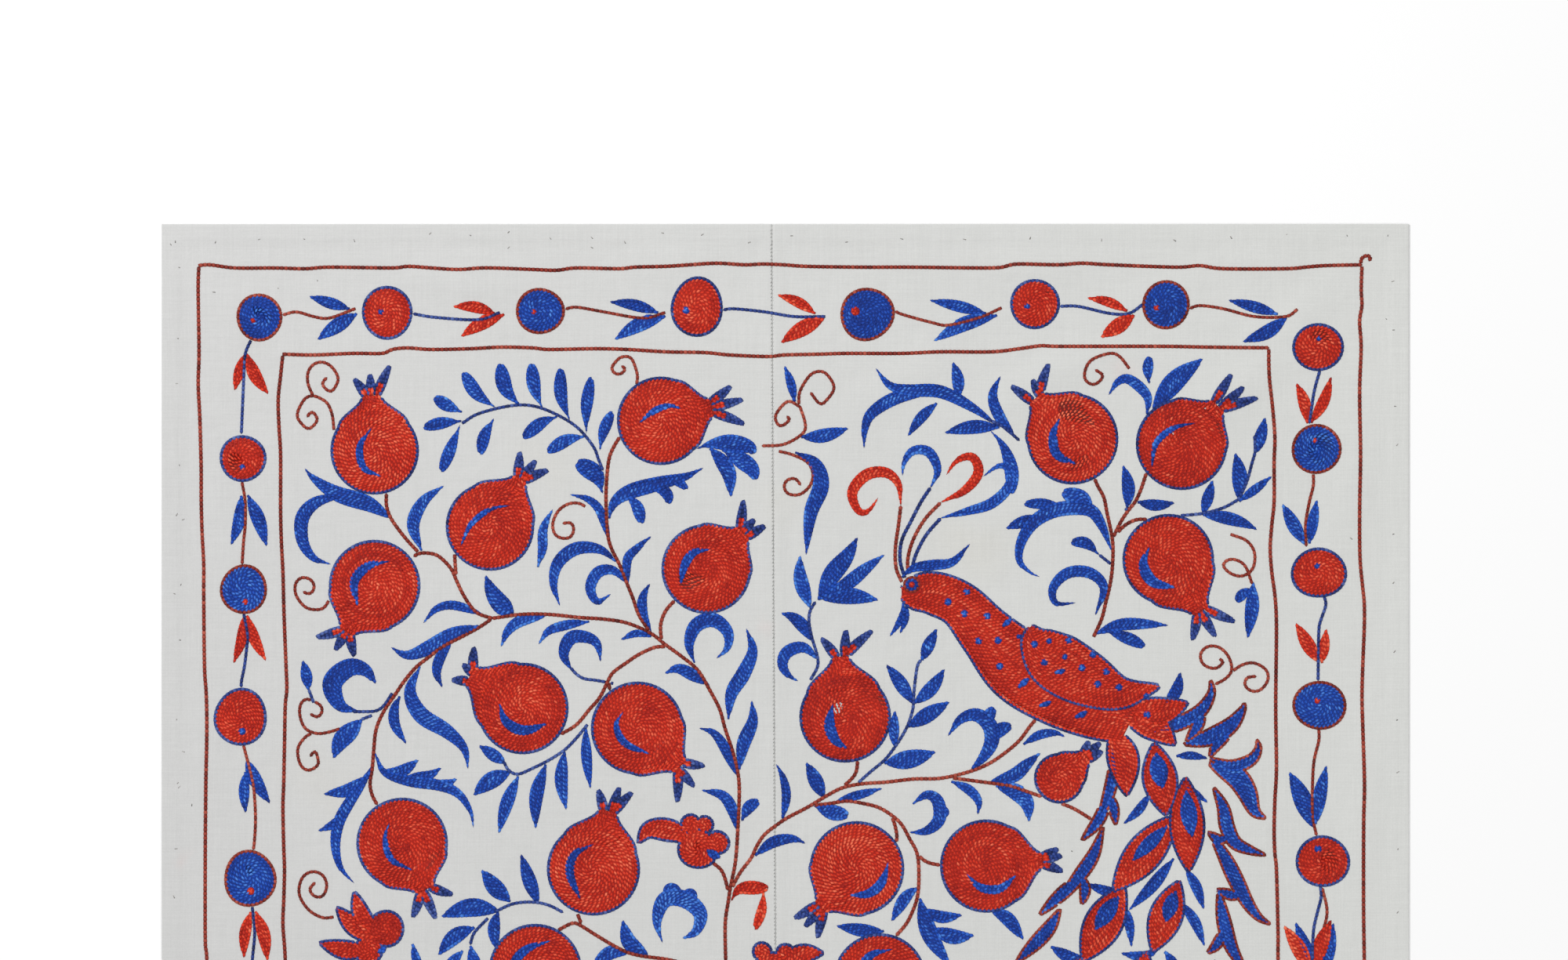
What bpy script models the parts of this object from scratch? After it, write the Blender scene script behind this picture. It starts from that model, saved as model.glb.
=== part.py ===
"""A suzani, a hand embroidered cover of cotton and silk, lying face up on a flat surface.

The ground is two long panels of cloth, joined edge to edge by one seam that runs down the length
a little left of the middle. Every outer edge is turned under as a hem. The cloth lies flat, and
soft ripples lift it off the surface where the stitching and the hems have drawn it in.

X runs across the cloth, +Y points to its top hem and +Z up. The origin is on the surface, under the
middle of the cloth. All sizes are in metres.
"""

import math
from collections import namedtuple

import bmesh
import bpy

CLOTH_WIDTH = 1.400
CLOTH_LENGTH = 2.100
CLOTH_THICKNESS = 0.0015

HEM_WIDTH = 0.018
HEM_EXTRA = 0.0007
FOLD_STEP = 0.003

SEAM_X_AT_TOP = -0.0154
SEAM_X_AT_FOOT = -0.0040
SEAM_GAP = 0.0003
SEAM_ALLOWANCE = 0.010
SEAM_EXTRA = 0.0005

GRID_PITCH = 0.027

CLOTH_COLOUR = (0.69, 0.70, 0.68, 1.0)
CLOTH_ROUGHNESS = 0.85

HALF_WIDTH = CLOTH_WIDTH / 2
HALF_LENGTH = CLOTH_LENGTH / 2

# A soft ridge in the cloth: its middle, the direction that it runs in (degrees from +X), its whole
# length, how far it spreads to each side, and how high its crest lifts.
Ripple = namedtuple("Ripple", "x y heading length spread rise")

RIPPLES = (
    # top margin, between the places where the hem is caught down
    Ripple(-0.365, 1.000, -3, 0.30, 0.034, 0.0022),
    Ripple(-0.130, 1.008, 2, 0.22, 0.030, 0.0018),
    Ripple(0.290, 1.004, 0, 0.36, 0.032, 0.0022),
    Ripple(0.530, 1.010, 3, 0.20, 0.030, 0.0018),
    # top left, below the outer line of stitching and down the left margin
    Ripple(-0.352, 0.985, -7, 0.26, 0.036, 0.0032),
    Ripple(-0.630, 0.965, -58, 0.22, 0.034, 0.0026),
    Ripple(-0.640, 0.740, -74, 0.30, 0.036, 0.0026),
    Ripple(-0.650, 0.420, -80, 0.34, 0.036, 0.0024),
    # top right, long slanting ripples that run up towards the corner
    Ripple(0.300, 0.878, 27, 0.26, 0.036, 0.0034),
    Ripple(0.500, 0.862, 36, 0.30, 0.036, 0.0036),
    Ripple(0.575, 0.945, 38, 0.24, 0.034, 0.0030),
    Ripple(0.405, 0.965, 20, 0.22, 0.032, 0.0024),
    Ripple(0.130, 0.872, 28, 0.20, 0.034, 0.0026),
    Ripple(0.255, 0.732, 32, 0.20, 0.034, 0.0024),
    Ripple(0.633, 0.750, 78, 0.34, 0.036, 0.0028),
    Ripple(0.655, 0.420, 84, 0.36, 0.036, 0.0024),
    # middle field, each side of the seam
    Ripple(-0.155, 0.640, -66, 0.24, 0.034, 0.0024),
    Ripple(-0.060, 0.420, 82, 0.34, 0.034, 0.0022),
    Ripple(0.070, 0.520, 40, 0.22, 0.034, 0.0024),
    Ripple(-0.420, 0.300, -62, 0.26, 0.036, 0.0024),
    # lower half, the same slack more sparsely
    Ripple(0.420, 0.060, 62, 0.30, 0.038, 0.0026),
    Ripple(-0.640, -0.080, 84, 0.36, 0.036, 0.0024),
    Ripple(-0.240, -0.160, 34, 0.28, 0.038, 0.0024),
    Ripple(0.645, -0.260, -82, 0.36, 0.036, 0.0024),
    Ripple(0.190, -0.420, -36, 0.28, 0.038, 0.0026),
    Ripple(-0.470, -0.560, -34, 0.30, 0.038, 0.0026),
    Ripple(0.540, -0.760, -40, 0.30, 0.038, 0.0028),
    Ripple(-0.600, -0.900, 52, 0.26, 0.036, 0.0026),
    Ripple(0.050, -0.985, 4, 0.34, 0.034, 0.0022),
)


def seam_x(y):
    """The seam drifts evenly from its place at the top hem to its place at the foot."""
    share = (HALF_LENGTH - y) / CLOTH_LENGTH
    return SEAM_X_AT_TOP + share * (SEAM_X_AT_FOOT - SEAM_X_AT_TOP)


def bump(distance):
    """A soft hump, 1 at distance 0 and flat from distance 1 outwards."""
    return max(0.0, 1.0 - distance * distance) ** 2


def lift(x, y):
    """How far the cloth stands off the surface: the highest of the ripples that reach the point."""
    highest = 0.0
    for ripple in RIPPLES:
        along_x = math.cos(math.radians(ripple.heading))
        along_y = math.sin(math.radians(ripple.heading))
        dx = x - ripple.x
        dy = y - ripple.y
        along = (dx * along_x + dy * along_y) / (ripple.length / 2)
        across = (dy * along_x - dx * along_y) / ripple.spread
        highest = max(highest, ripple.rise * bump(along) * bump(across))
    return highest


def band(distance, width):
    """1 inside a folded band of that width, falling to 0 over the step beside it."""
    return min(1.0, max(0.0, (width + FOLD_STEP - distance) / FOLD_STEP))


def thickness(x, y):
    """The cloth, and what is folded under it: the hem at the outer edges, the allowance at the seam."""
    to_edge = min(HALF_WIDTH - abs(x), HALF_LENGTH - abs(y))
    hem = HEM_EXTRA * band(to_edge, HEM_WIDTH)
    allowance = SEAM_EXTRA * band(abs(x - seam_x(y)), SEAM_ALLOWANCE)
    return CLOTH_THICKNESS + max(hem, allowance)


def stations(length, start_band, end_band):
    """Grid lines along a length: each side of the two folded bands, and evenly between them."""
    start = start_band + FOLD_STEP
    end = length - end_band - FOLD_STEP
    count = max(1, round((end - start) / GRID_PITCH))
    middle = [start + (end - start) * i / count for i in range(count + 1)]
    return [0.0, start_band] + middle + [length - end_band, length]


def panel(name, side, material):
    """One panel: a grid of the underside, lifted by the ripples, then extruded up by the thickness.

    side is -1 for the panel left of the seam and 1 for the one right of it. The grid's columns keep
    their distance from the outer edge at that edge, and from the seam at the seam.
    """
    width = HALF_WIDTH - side * (SEAM_X_AT_TOP + SEAM_X_AT_FOOT) / 2
    columns = stations(width, HEM_WIDTH, SEAM_ALLOWANCE)
    rows = stations(CLOTH_LENGTH, HEM_WIDTH, HEM_WIDTH)

    shape = bmesh.new()
    grid = []
    for row in rows:
        y = HALF_LENGTH - row
        inner_x = seam_x(y) + side * SEAM_GAP / 2
        drift = inner_x - side * (HALF_WIDTH - width)
        line = []
        for column in columns:
            x = side * (HALF_WIDTH - column) + drift * column / width
            line.append(shape.verts.new((x, y, lift(x, y))))
        grid.append(line)
    for upper, lower in zip(grid, grid[1:]):
        for i in range(len(columns) - 1):
            shape.faces.new((upper[i], upper[i + 1], lower[i + 1], lower[i]))

    extruded = bmesh.ops.extrude_face_region(shape, geom=shape.faces[:])
    for item in extruded["geom"]:
        if isinstance(item, bmesh.types.BMVert):
            item.co.z += thickness(item.co.x, item.co.y)
    bmesh.ops.triangulate(shape, faces=shape.faces[:])
    bmesh.ops.recalc_face_normals(shape, faces=shape.faces[:])

    mesh = bpy.data.meshes.new(name)
    shape.to_mesh(mesh)
    shape.free()
    mesh.shade_smooth()
    mesh.set_sharp_from_angle(angle=math.radians(40))
    mesh.materials.append(material)
    cloth = bpy.data.objects.new(name, mesh)
    bpy.context.scene.collection.objects.link(cloth)
    return cloth


def cloth_material(name):
    material = bpy.data.materials.new(name)
    material.use_nodes = True
    shader = material.node_tree.nodes["Principled BSDF"]
    shader.inputs["Base Color"].default_value = CLOTH_COLOUR
    shader.inputs["Roughness"].default_value = CLOTH_ROUGHNESS
    shader.inputs["Metallic"].default_value = 0.0
    return material


def main():
    for item in list(bpy.data.objects):
        bpy.data.objects.remove(item)
    ground = cloth_material("ground_cloth")
    panel("panel_left", -1, ground)
    panel("panel_right", 1, ground)


main()
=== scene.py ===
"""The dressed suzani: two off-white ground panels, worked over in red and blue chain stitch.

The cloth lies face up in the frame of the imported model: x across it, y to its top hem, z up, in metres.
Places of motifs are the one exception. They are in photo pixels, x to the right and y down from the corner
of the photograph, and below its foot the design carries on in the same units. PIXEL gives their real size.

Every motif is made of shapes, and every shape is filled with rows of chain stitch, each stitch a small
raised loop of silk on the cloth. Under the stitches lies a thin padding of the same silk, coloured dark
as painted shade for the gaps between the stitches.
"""
import math
from collections import namedtuple

import bpy
import numpy as np
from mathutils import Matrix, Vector


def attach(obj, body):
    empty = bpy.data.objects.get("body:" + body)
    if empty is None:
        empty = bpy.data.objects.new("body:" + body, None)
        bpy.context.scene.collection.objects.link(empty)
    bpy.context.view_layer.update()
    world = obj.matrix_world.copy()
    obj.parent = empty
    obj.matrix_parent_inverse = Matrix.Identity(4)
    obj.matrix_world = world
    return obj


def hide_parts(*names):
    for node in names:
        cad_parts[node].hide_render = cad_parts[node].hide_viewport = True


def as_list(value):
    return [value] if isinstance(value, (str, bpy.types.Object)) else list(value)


# Cloth, with the thickness, hem, seam and ripples of its solids
CLOTH_WIDTH = 1.400
CLOTH_LENGTH = 2.100
CLOTH_THICKNESS = 0.0015
HEM_WIDTH = 0.018
HEM_EXTRA = 0.0007
FOLD_STEP = 0.003
SEAM_X_AT_TOP = -0.0154
SEAM_X_AT_FOOT = -0.0040
SEAM_GAP = 0.0003
SEAM_ALLOWANCE = 0.010
SEAM_EXTRA = 0.0005
SEAM_ROLL = 0.0016
SEAM_DIP = 0.0007
EDGE_ROLL = 0.0012
EDGE_DIP = 0.0006
LEFT_WIDTH = 0.690
RIGHT_WIDTH = 0.710
GRID_PITCH = 0.0098
HALF_LENGTH = CLOTH_LENGTH / 2

# Photograph: its size, and the pixels where the cloth's edges stand
PHOTO_WIDTH = 2000
PHOTO_HEIGHT = 1225
EDGE_LEFT = 206.5
EDGE_RIGHT = 1797.0
EDGE_TOP = 286.0
PIXEL = CLOTH_WIDTH / (EDGE_RIGHT - EDGE_LEFT)

# Chain stitch
ROW_PITCH = 0.0033
STITCH_LENGTH = 0.0048
STITCH_OVERLAP = 1.14
STITCH_SLANT = 0.7
STITCH_SUNK = 0.00015
LINE_WIDTH = 0.0042
OUTLINE_WIDTH = 0.0038
OUTLINE_OUT = 0.0004
COVER_INSET = 0.0015
FILL_RISE = 0.0009
LINE_RISE = 0.0014
LEAF_POWER = 0.85
PADDING_RISE = 0.0003
PADDING_SEAT = 0.00025
PADDING_INSET = 0.0001
INLAY_LIFT = 0.00035
PADDING_STEP = 0.009
PADDING_TURNS = 28

STEM_WIDTH = 0.0036
FINE_WIDTH = 0.0036
LEAF_BEND = 0.07
NECK_START = 0.6
NECK_HALF = 0.8
CROWN_WIDTH = 8.5
CROWN_ROOT = 7
CROWN_RED = 0.5

# How much the silk's tone varies: from stitch to stitch, row to row and shape to shape. The spread from
# stitch to stitch is partly the floss's own unevenness and partly painted sparkle, light and dark flecks
# for the highlights and shade on single loops.
STITCH_TONE = 0.26
ROW_TONE = 0.14
SHAPE_TONE = 0.10
EDGE_TONE = 0.2
# The padding's tone is painted shade: it shows only in the gaps between stitches and is set near the silk's
# dark end.
PADDING_SHADE_TONE = -0.8

# Steps that curves and covered areas are worked out in
CURVE_STEPS = 10
SAMPLE_STEP = 0.0005
CELL = 0.0006
MAP_TOP_SHARE = 0.7

# Cloth colours, 0 to 255, as read. The left and right ones are painted shade and light: the cloth is set
# darker to the left and lighter to the right as the light falls on it.
CLOTH_SHADED_LEFT = (203, 203, 202)
CLOTH_LIT_RIGHT = (212, 213, 210)
STAIN_PINK = (222, 176, 172)
STAIN_YELLOW = (206, 196, 168)
WEAVE_SCALE = 420.0

# Seam and hem stitches
WHIP_STEP = 0.0042
WHIP_HALF = 0.0011
WHIP_WIDTH = 0.0009
WHIP_RISE = 0.0003
HEM_CATCH_STEP = 82

# Camera and light
CAMERA_HEIGHT = 7.0
SENSOR_WIDTH = 36.0
FLOOR_SIZE = 16.0
FLOOR_DROP = 0.0002
WORLD_LIGHT = 0.56
LAMPS = (
    ("key", (-2.6, 3.4, 3.6), 150.0, 1.6),
    ("fill", (3.0, -1.6, 4.2), 60.0, 3.0),
)

rng = np.random.default_rng(20)

Ripple = namedtuple("Ripple", "x y heading length spread rise")
RIPPLES = (
    # top margin
    Ripple(-0.365, 1.000, -3, 0.30, 0.034, 0.0022),
    Ripple(-0.130, 1.008, 2, 0.22, 0.030, 0.0018),
    Ripple(0.290, 1.004, 0, 0.36, 0.032, 0.0022),
    Ripple(0.530, 1.010, 3, 0.20, 0.030, 0.0018),
    # top left
    Ripple(-0.352, 0.985, -7, 0.26, 0.036, 0.0032),
    Ripple(-0.630, 0.965, -58, 0.22, 0.034, 0.0026),
    Ripple(-0.640, 0.740, -74, 0.30, 0.036, 0.0026),
    Ripple(-0.650, 0.420, -80, 0.34, 0.036, 0.0024),
    # top right
    Ripple(0.300, 0.878, 27, 0.26, 0.036, 0.0034),
    Ripple(0.500, 0.862, 36, 0.30, 0.036, 0.0036),
    Ripple(0.575, 0.945, 38, 0.24, 0.034, 0.0030),
    Ripple(0.405, 0.965, 20, 0.22, 0.032, 0.0024),
    Ripple(0.130, 0.872, 28, 0.20, 0.034, 0.0026),
    Ripple(0.255, 0.732, 32, 0.20, 0.034, 0.0024),
    Ripple(0.633, 0.750, 78, 0.34, 0.036, 0.0028),
    Ripple(0.655, 0.420, 84, 0.36, 0.036, 0.0024),
    # middle
    Ripple(-0.155, 0.640, -66, 0.24, 0.034, 0.0024),
    Ripple(-0.060, 0.420, 82, 0.34, 0.034, 0.0022),
    Ripple(0.070, 0.520, 40, 0.22, 0.034, 0.0024),
    Ripple(-0.420, 0.300, -62, 0.26, 0.036, 0.0024),
    # lower half
    Ripple(0.420, 0.060, 62, 0.30, 0.038, 0.0026),
    Ripple(-0.640, -0.080, 84, 0.36, 0.036, 0.0024),
    Ripple(-0.240, -0.160, 34, 0.28, 0.038, 0.0024),
    Ripple(0.645, -0.260, -82, 0.36, 0.036, 0.0024),
    Ripple(0.190, -0.420, -36, 0.28, 0.038, 0.0026),
    Ripple(-0.470, -0.560, -34, 0.30, 0.038, 0.0026),
    Ripple(0.540, -0.760, -40, 0.30, 0.038, 0.0028),
    Ripple(-0.600, -0.900, 52, 0.26, 0.036, 0.0026),
    Ripple(0.050, -0.985, 4, 0.34, 0.034, 0.0022),
)

# Small creases between two photo pixels, each with its half width and its rise in metres
Crease = namedtuple("Crease", "x1 y1 x2 y2 spread rise")
CREASES = (
    # upper right, running up to the right
    Crease(1281, 493, 1387, 447, 0.010, 0.0007),
    Crease(1515, 495, 1556, 466, 0.009, 0.0007),
    Crease(1558, 558, 1612, 516, 0.010, 0.0006),
    Crease(1592, 381, 1645, 352, 0.010, 0.0006),
    Crease(1432, 370, 1480, 351, 0.009, 0.0005),
    Crease(1618, 438, 1670, 401, 0.010, 0.0006),
    Crease(1114, 483, 1165, 455, 0.010, 0.0006),
    Crease(1268, 641, 1308, 619, 0.009, 0.0005),
    Crease(1060, 672, 1120, 650, 0.010, 0.0005),
    Crease(1205, 900, 1262, 858, 0.011, 0.0006),
    Crease(1210, 950, 1262, 915, 0.009, 0.0005),
    Crease(1566, 976, 1640, 960, 0.009, 0.0005),
    # right margin
    Crease(1700, 610, 1722, 470, 0.012, 0.0006),
    Crease(1766, 700, 1778, 420, 0.012, 0.0005),
    Crease(1704, 1040, 1712, 880, 0.012, 0.0005),
    Crease(1752, 860, 1756, 560, 0.011, 0.0004),
    # upper left
    Crease(506, 349, 700, 374, 0.011, 0.0006),
    Crease(516, 294, 670, 304, 0.010, 0.0005),
    Crease(262, 290, 300, 340, 0.010, 0.0005),
    Crease(228, 334, 248, 392, 0.010, 0.0005),
    Crease(338, 341, 384, 381, 0.010, 0.0005),
    Crease(268, 580, 286, 700, 0.011, 0.0006),
    Crease(250, 900, 268, 1050, 0.011, 0.0004),
    Crease(228, 1040, 240, 1220, 0.011, 0.0004),
    # by the seam
    Crease(968, 600, 974, 860, 0.010, 0.0005),
    Crease(1002, 860, 1000, 1010, 0.010, 0.0004),
    Crease(962, 1080, 972, 1225, 0.010, 0.0005),
    Crease(640, 520, 660, 640, 0.010, 0.0004),
    # below the photograph
    Crease(420, 1420, 500, 1370, 0.011, 0.0005),
    Crease(1500, 1560, 1570, 1500, 0.011, 0.0006),
    Crease(980, 1700, 990, 1560, 0.011, 0.0005),
    Crease(1180, 1960, 1260, 1920, 0.011, 0.0005),
    Crease(600, 2180, 690, 2220, 0.011, 0.0005),
    Crease(1560, 2380, 1640, 2440, 0.011, 0.0005),
    Crease(900, 2560, 1040, 2550, 0.011, 0.0005),
)

# Catch stitches of the hem along the top, as x, then thread ends and specks in the margins
HEM_CATCHES_TOP = (224, 275, 331, 388, 452, 549, 600, 649, 702, 755, 797, 845, 896, 956, 1010, 1080, 1150,
                   1230, 1314, 1405, 1498, 1570, 1641, 1718, 1770)
LOOSE_SPECKS = ((234, 663), (231, 746), (234, 959), (229, 1004), (245, 1027), (1367, 1086), (1723, 687),
                (405, 358), (355, 368), (273, 373), (1768, 407), (218, 312), (649, 316), (755, 316))

# Old stains: their place and radius in photo pixels and how deep they are
Stain = namedtuple("Stain", "x y r depth")
PINK_STAINS = (
    Stain(1435, 475, 22, 0.16), Stain(977, 800, 16, 0.10), Stain(232, 1097, 14, 0.12),
    Stain(1180, 1500, 26, 0.08), Stain(420, 2030, 20, 0.09),
)
YELLOW_STAINS = (
    Stain(1240, 700, 70, 0.10), Stain(700, 590, 60, 0.07), Stain(430, 1010, 80, 0.06),
    Stain(1560, 1500, 90, 0.10), Stain(760, 1900, 110, 0.08), Stain(1300, 2300, 90, 0.09),
    Stain(1000, 640, 60, 0.06),
)


def place(pixels):
    """Photo pixels (n, 2) as metres on the cloth."""
    pixels = np.asarray(pixels, float)
    across = (pixels[:, 0] - (EDGE_LEFT + EDGE_RIGHT) / 2) * PIXEL
    up = HALF_LENGTH - (pixels[:, 1] - EDGE_TOP) * PIXEL
    return np.column_stack((across, up))


def bump(d):
    """1 at the middle of a ripple and 0 past its edge: (1 - d^2)^2."""
    return np.maximum(0.0, 1.0 - d * d) ** 2


def ridge(x, y, middle, heading, length, spread, rise):
    """A low ridge: rise times bump(distance along / half length) times bump(distance across / spread)."""
    dx = x - middle[0]
    dy = y - middle[1]
    along = (dx * math.cos(heading) + dy * math.sin(heading)) / (length / 2)
    across = (dy * math.cos(heading) - dx * math.sin(heading)) / spread
    return rise * bump(along) * bump(across)


def ripple_lift(x, y):
    """How far the cloth stands off the surface: at each point the highest of the ripples."""
    lift = np.zeros_like(x)
    for ripple in RIPPLES:
        middle = (ripple.x, ripple.y)
        heading = math.radians(ripple.heading)
        size = (ripple.length, ripple.spread, ripple.rise)
        np.maximum(lift, ridge(x, y, middle, heading, *size), out=lift)
    return lift


def crease_lift(x, y):
    """The sum of the small creases."""
    lift = np.zeros_like(x)
    for crease in CREASES:
        ends = place(((crease.x1, crease.y1), (crease.x2, crease.y2)))
        way = ends[1] - ends[0]
        heading = math.atan2(way[1], way[0])
        lift += ridge(x, y, ends.mean(axis=0), heading, np.hypot(*way), crease.spread, crease.rise)
    return lift


def band(distance, width):
    """1 within width of a line, falling to 0 over the next FOLD_STEP."""
    return np.clip((width + FOLD_STEP - distance) / FOLD_STEP, 0.0, 1.0)


def seam_x(y):
    """The seam runs straight from its place at the top hem to its place at the foot."""
    return SEAM_X_AT_TOP + (HALF_LENGTH - y) / CLOTH_LENGTH * (SEAM_X_AT_FOOT - SEAM_X_AT_TOP)


def to_edge(x, y):
    """Distance to the nearest edge of the cloth."""
    return np.minimum(CLOTH_WIDTH / 2 - np.abs(x), HALF_LENGTH - np.abs(y))


def thickness(x, y):
    """One layer of cloth, more where the hem or the seam allowance lies under it, less at a rolled edge."""
    edge = to_edge(x, y)
    seam = np.abs(x - seam_x(y))
    folded = np.maximum(HEM_EXTRA * band(edge, HEM_WIDTH), SEAM_EXTRA * band(seam, SEAM_ALLOWANCE))
    rolled = EDGE_DIP * np.maximum(0.0, 1.0 - edge / EDGE_ROLL) ** 2
    drawn_in = SEAM_DIP * np.maximum(0.0, 1.0 - seam / SEAM_ROLL) ** 2
    return CLOTH_THICKNESS + folded - rolled - drawn_in


def cloth_top(x, y):
    """Height of the cloth's face: its ripples, its thickness and its small creases."""
    fade = np.clip(to_edge(x, y) / 0.02, 0.0, 1.0)
    return ripple_lift(x, y) + thickness(x, y) + crease_lift(x, y) * fade

# Tables below are in photo pixels. A path runs from the stem end of a piece to its tip.

# Two thin lines frame the border: the outer and the inner, each from its top left corner
OUTER_TOP = ((254, 339), (268, 338), (300, 342), (350, 342), (390, 343), (420, 341), (500, 342), (520, 340),
             (550, 342), (585, 344), (620, 342), (680, 344), (710, 345), (735, 342), (790, 343), (810, 341),
             (850, 340), (880, 338), (915, 336), (950, 338), (972, 337), (1000, 338), (1030, 340), (1100, 341),
             (1160, 341), (1265, 342), (1285, 339), (1300, 337), (1350, 338), (1380, 336), (1415, 338),
             (1500, 341), (1530, 339), (1560, 343), (1640, 343), (1665, 341), (1690, 339), (1737, 338))
OUTER_LOOP = ((1737, 338), (1735, 332), (1742, 326), (1748, 328), (1746, 333))
OUTER_LEFT = ((254, 339), (253, 370), (254, 450), (253, 490), (255, 530), (256, 560), (257, 600), (257, 640),
              (258, 680), (260, 720), (260, 760), (261, 850), (263, 880), (264, 910), (264, 950), (263, 1000),
              (262, 1100), (262, 1200), (264, 1225), (266, 1330), (264, 1450), (262, 1600), (265, 1750),
              (267, 1900), (264, 2050), (262, 2200), (265, 2350), (267, 2500), (268, 2616))
OUTER_RIGHT = ((1737, 338), (1736, 370), (1737, 390), (1734, 410), (1736, 443), (1734, 500), (1735, 580),
               (1734, 640), (1734, 690), (1735, 720), (1738, 750), (1740, 770), (1740, 800), (1738, 850),
               (1737, 890), (1738, 930), (1740, 1000), (1739, 1050), (1739, 1150), (1740, 1225), (1742, 1350),
               (1740, 1500), (1737, 1650), (1739, 1800), (1741, 1950), (1738, 2100), (1736, 2250),
               (1739, 2400), (1741, 2520), (1739, 2612))
OUTER_FOOT = ((268, 2616), (420, 2613), (600, 2617), (800, 2614), (1000, 2612), (1200, 2615), (1400, 2618),
              (1600, 2614), (1739, 2612))
INNER_TOP = ((361, 452), (400, 453), (450, 451), (488, 451), (500, 446), (520, 444), (550, 446), (600, 445),
             (640, 443), (680, 444), (700, 446), (760, 445), (800, 446), (850, 449), (900, 450), (930, 453),
             (980, 455), (1000, 453), (1045, 452), (1080, 451), (1150, 451), (1200, 449), (1265, 449),
             (1300, 445), (1330, 441), (1350, 442), (1480, 442), (1540, 443), (1618, 444))
INNER_LEFT = ((361, 452), (358, 480), (355, 510), (356, 545), (358, 580), (358, 650), (359, 690), (361, 730),
              (362, 770), (363, 800), (365, 850), (366, 880), (364, 900), (363, 950), (362, 1000),
              (361, 1030), (362, 1080), (363, 1110), (362, 1150), (361, 1180), (364, 1225), (366, 1320),
              (364, 1450), (361, 1600), (364, 1750), (367, 1880), (365, 2020), (362, 2160), (364, 2300),
              (366, 2420), (368, 2506))
INNER_RIGHT = ((1618, 444), (1618, 465), (1619, 485), (1622, 510), (1624, 530), (1626, 560), (1625, 590),
               (1625, 640), (1622, 670), (1620, 700), (1622, 730), (1626, 760), (1628, 800), (1627, 900),
               (1628, 980), (1626, 1020), (1625, 1060), (1626, 1090), (1628, 1110), (1630, 1190),
               (1630, 1225), (1632, 1340), (1629, 1480), (1626, 1620), (1629, 1760), (1631, 1900),
               (1628, 2040), (1625, 2180), (1628, 2320), (1630, 2430), (1628, 2502))
INNER_FOOT = ((368, 2506), (520, 2503), (700, 2507), (880, 2504), (1060, 2502), (1240, 2505), (1420, 2508),
              (1628, 2502))
FRAME_LINES = (OUTER_TOP, OUTER_LOOP, OUTER_LEFT, OUTER_RIGHT, OUTER_FOOT,
               INNER_TOP, INNER_LEFT, INNER_RIGHT, INNER_FOOT)

# Round flowers of the border, running up the right side, left along the top and down the left side
Rosette = namedtuple("Rosette", "x y across up fill dot_x dot_y dot")
ROSETTES = (
    Rosette(1687, 1099, 32, 31, "red", 1681, 1083, 5),
    Rosette(1683, 900, 32, 29, "blue", 1680, 894, 4),
    Rosette(1682, 731, 33, 30, "red", 1680, 722, 4),
    Rosette(1679, 573, 29, 30, "blue", 1677, 562, 3.5),
    Rosette(1681, 443, 31, 28, "red", 1682, 432, 3.5),
    Rosette(1487, 389, 28, 29, "blue", 1475, 393, 4),
    Rosette(1320, 388, 30, 29, "red", 1310, 391, 4),
    Rosette(1106, 401, 32, 32, "blue", 1091, 397, 6),
    Rosette(889, 392, 31, 36, "red", 875, 396, 5),
    Rosette(689, 397, 29, 27, "blue", 681, 398, 3.5),
    Rosette(494, 399, 30, 32, "red", 486, 398, 4),
    Rosette(331, 405, 27, 28, "blue", 323, 409, 3.5),
    Rosette(310, 585, 27, 28, "red", 309, 596, 4),
    Rosette(311, 752, 28, 29, "blue", 313, 768, 4),
    Rosette(307, 915, 32, 34, "red", 309, 933, 5),
    Rosette(319, 1121, 31, 34, "blue", 320, 1137, 5),
)

Line = namedtuple("Line", "silk path")
BORDER_STEMS = (
    Line("red", ((453, 394), (420, 406), (400, 404), (378, 398), (361, 402))),
    Line("blue", ((637, 399), (610, 408), (555, 405), (525, 400))),
    Line("red", ((848, 399), (820, 406), (770, 398), (735, 392), (720, 395))),
    Line("blue", ((1052, 404), (1013, 404), (975, 398), (935, 394), (921, 396))),
    Line("red", ((1277, 393), (1250, 405), (1210, 415), (1190, 412), (1150, 401), (1140, 396))),
    Line("blue", ((1458, 388), (1440, 400), (1415, 400), (1375, 391), (1351, 391))),
    Line("red", ((1654, 395), (1640, 404), (1600, 404), (1560, 394), (1530, 390), (1517, 394))),
    Line("blue", ((312, 460), (308, 553))),
    Line("blue", ((320, 435), (314, 448), (312, 460))),
    Line("red", ((309, 616), (313, 640), (313, 670), (311, 690), (309, 722))),
    Line("blue", ((311, 783), (316, 810), (315, 825), (312, 850), (308, 870), (308, 880))),
    Line("red", ((311, 952), (322, 995), (325, 1020), (326, 1050), (324, 1080), (322, 1086))),
    Line("blue", ((322, 1158), (325, 1190), (322, 1225), (320, 1262))),
    Line("blue", ((1683, 474), (1676, 500), (1670, 540))),
    Line("red", ((1675, 606), (1675, 620), (1670, 640), (1665, 670), (1666, 697))),
    Line("blue", ((1689, 762), (1691, 772), (1685, 790), (1682, 805), (1681, 868))),
    Line("red", ((1682, 931), (1682, 945), (1676, 970), (1674, 1000), (1674, 1040), (1679, 1066))),
    Line("blue", ((1684, 1132), (1685, 1145), (1680, 1165), (1675, 1190), (1674, 1240), (1678, 1262))),
)

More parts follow.
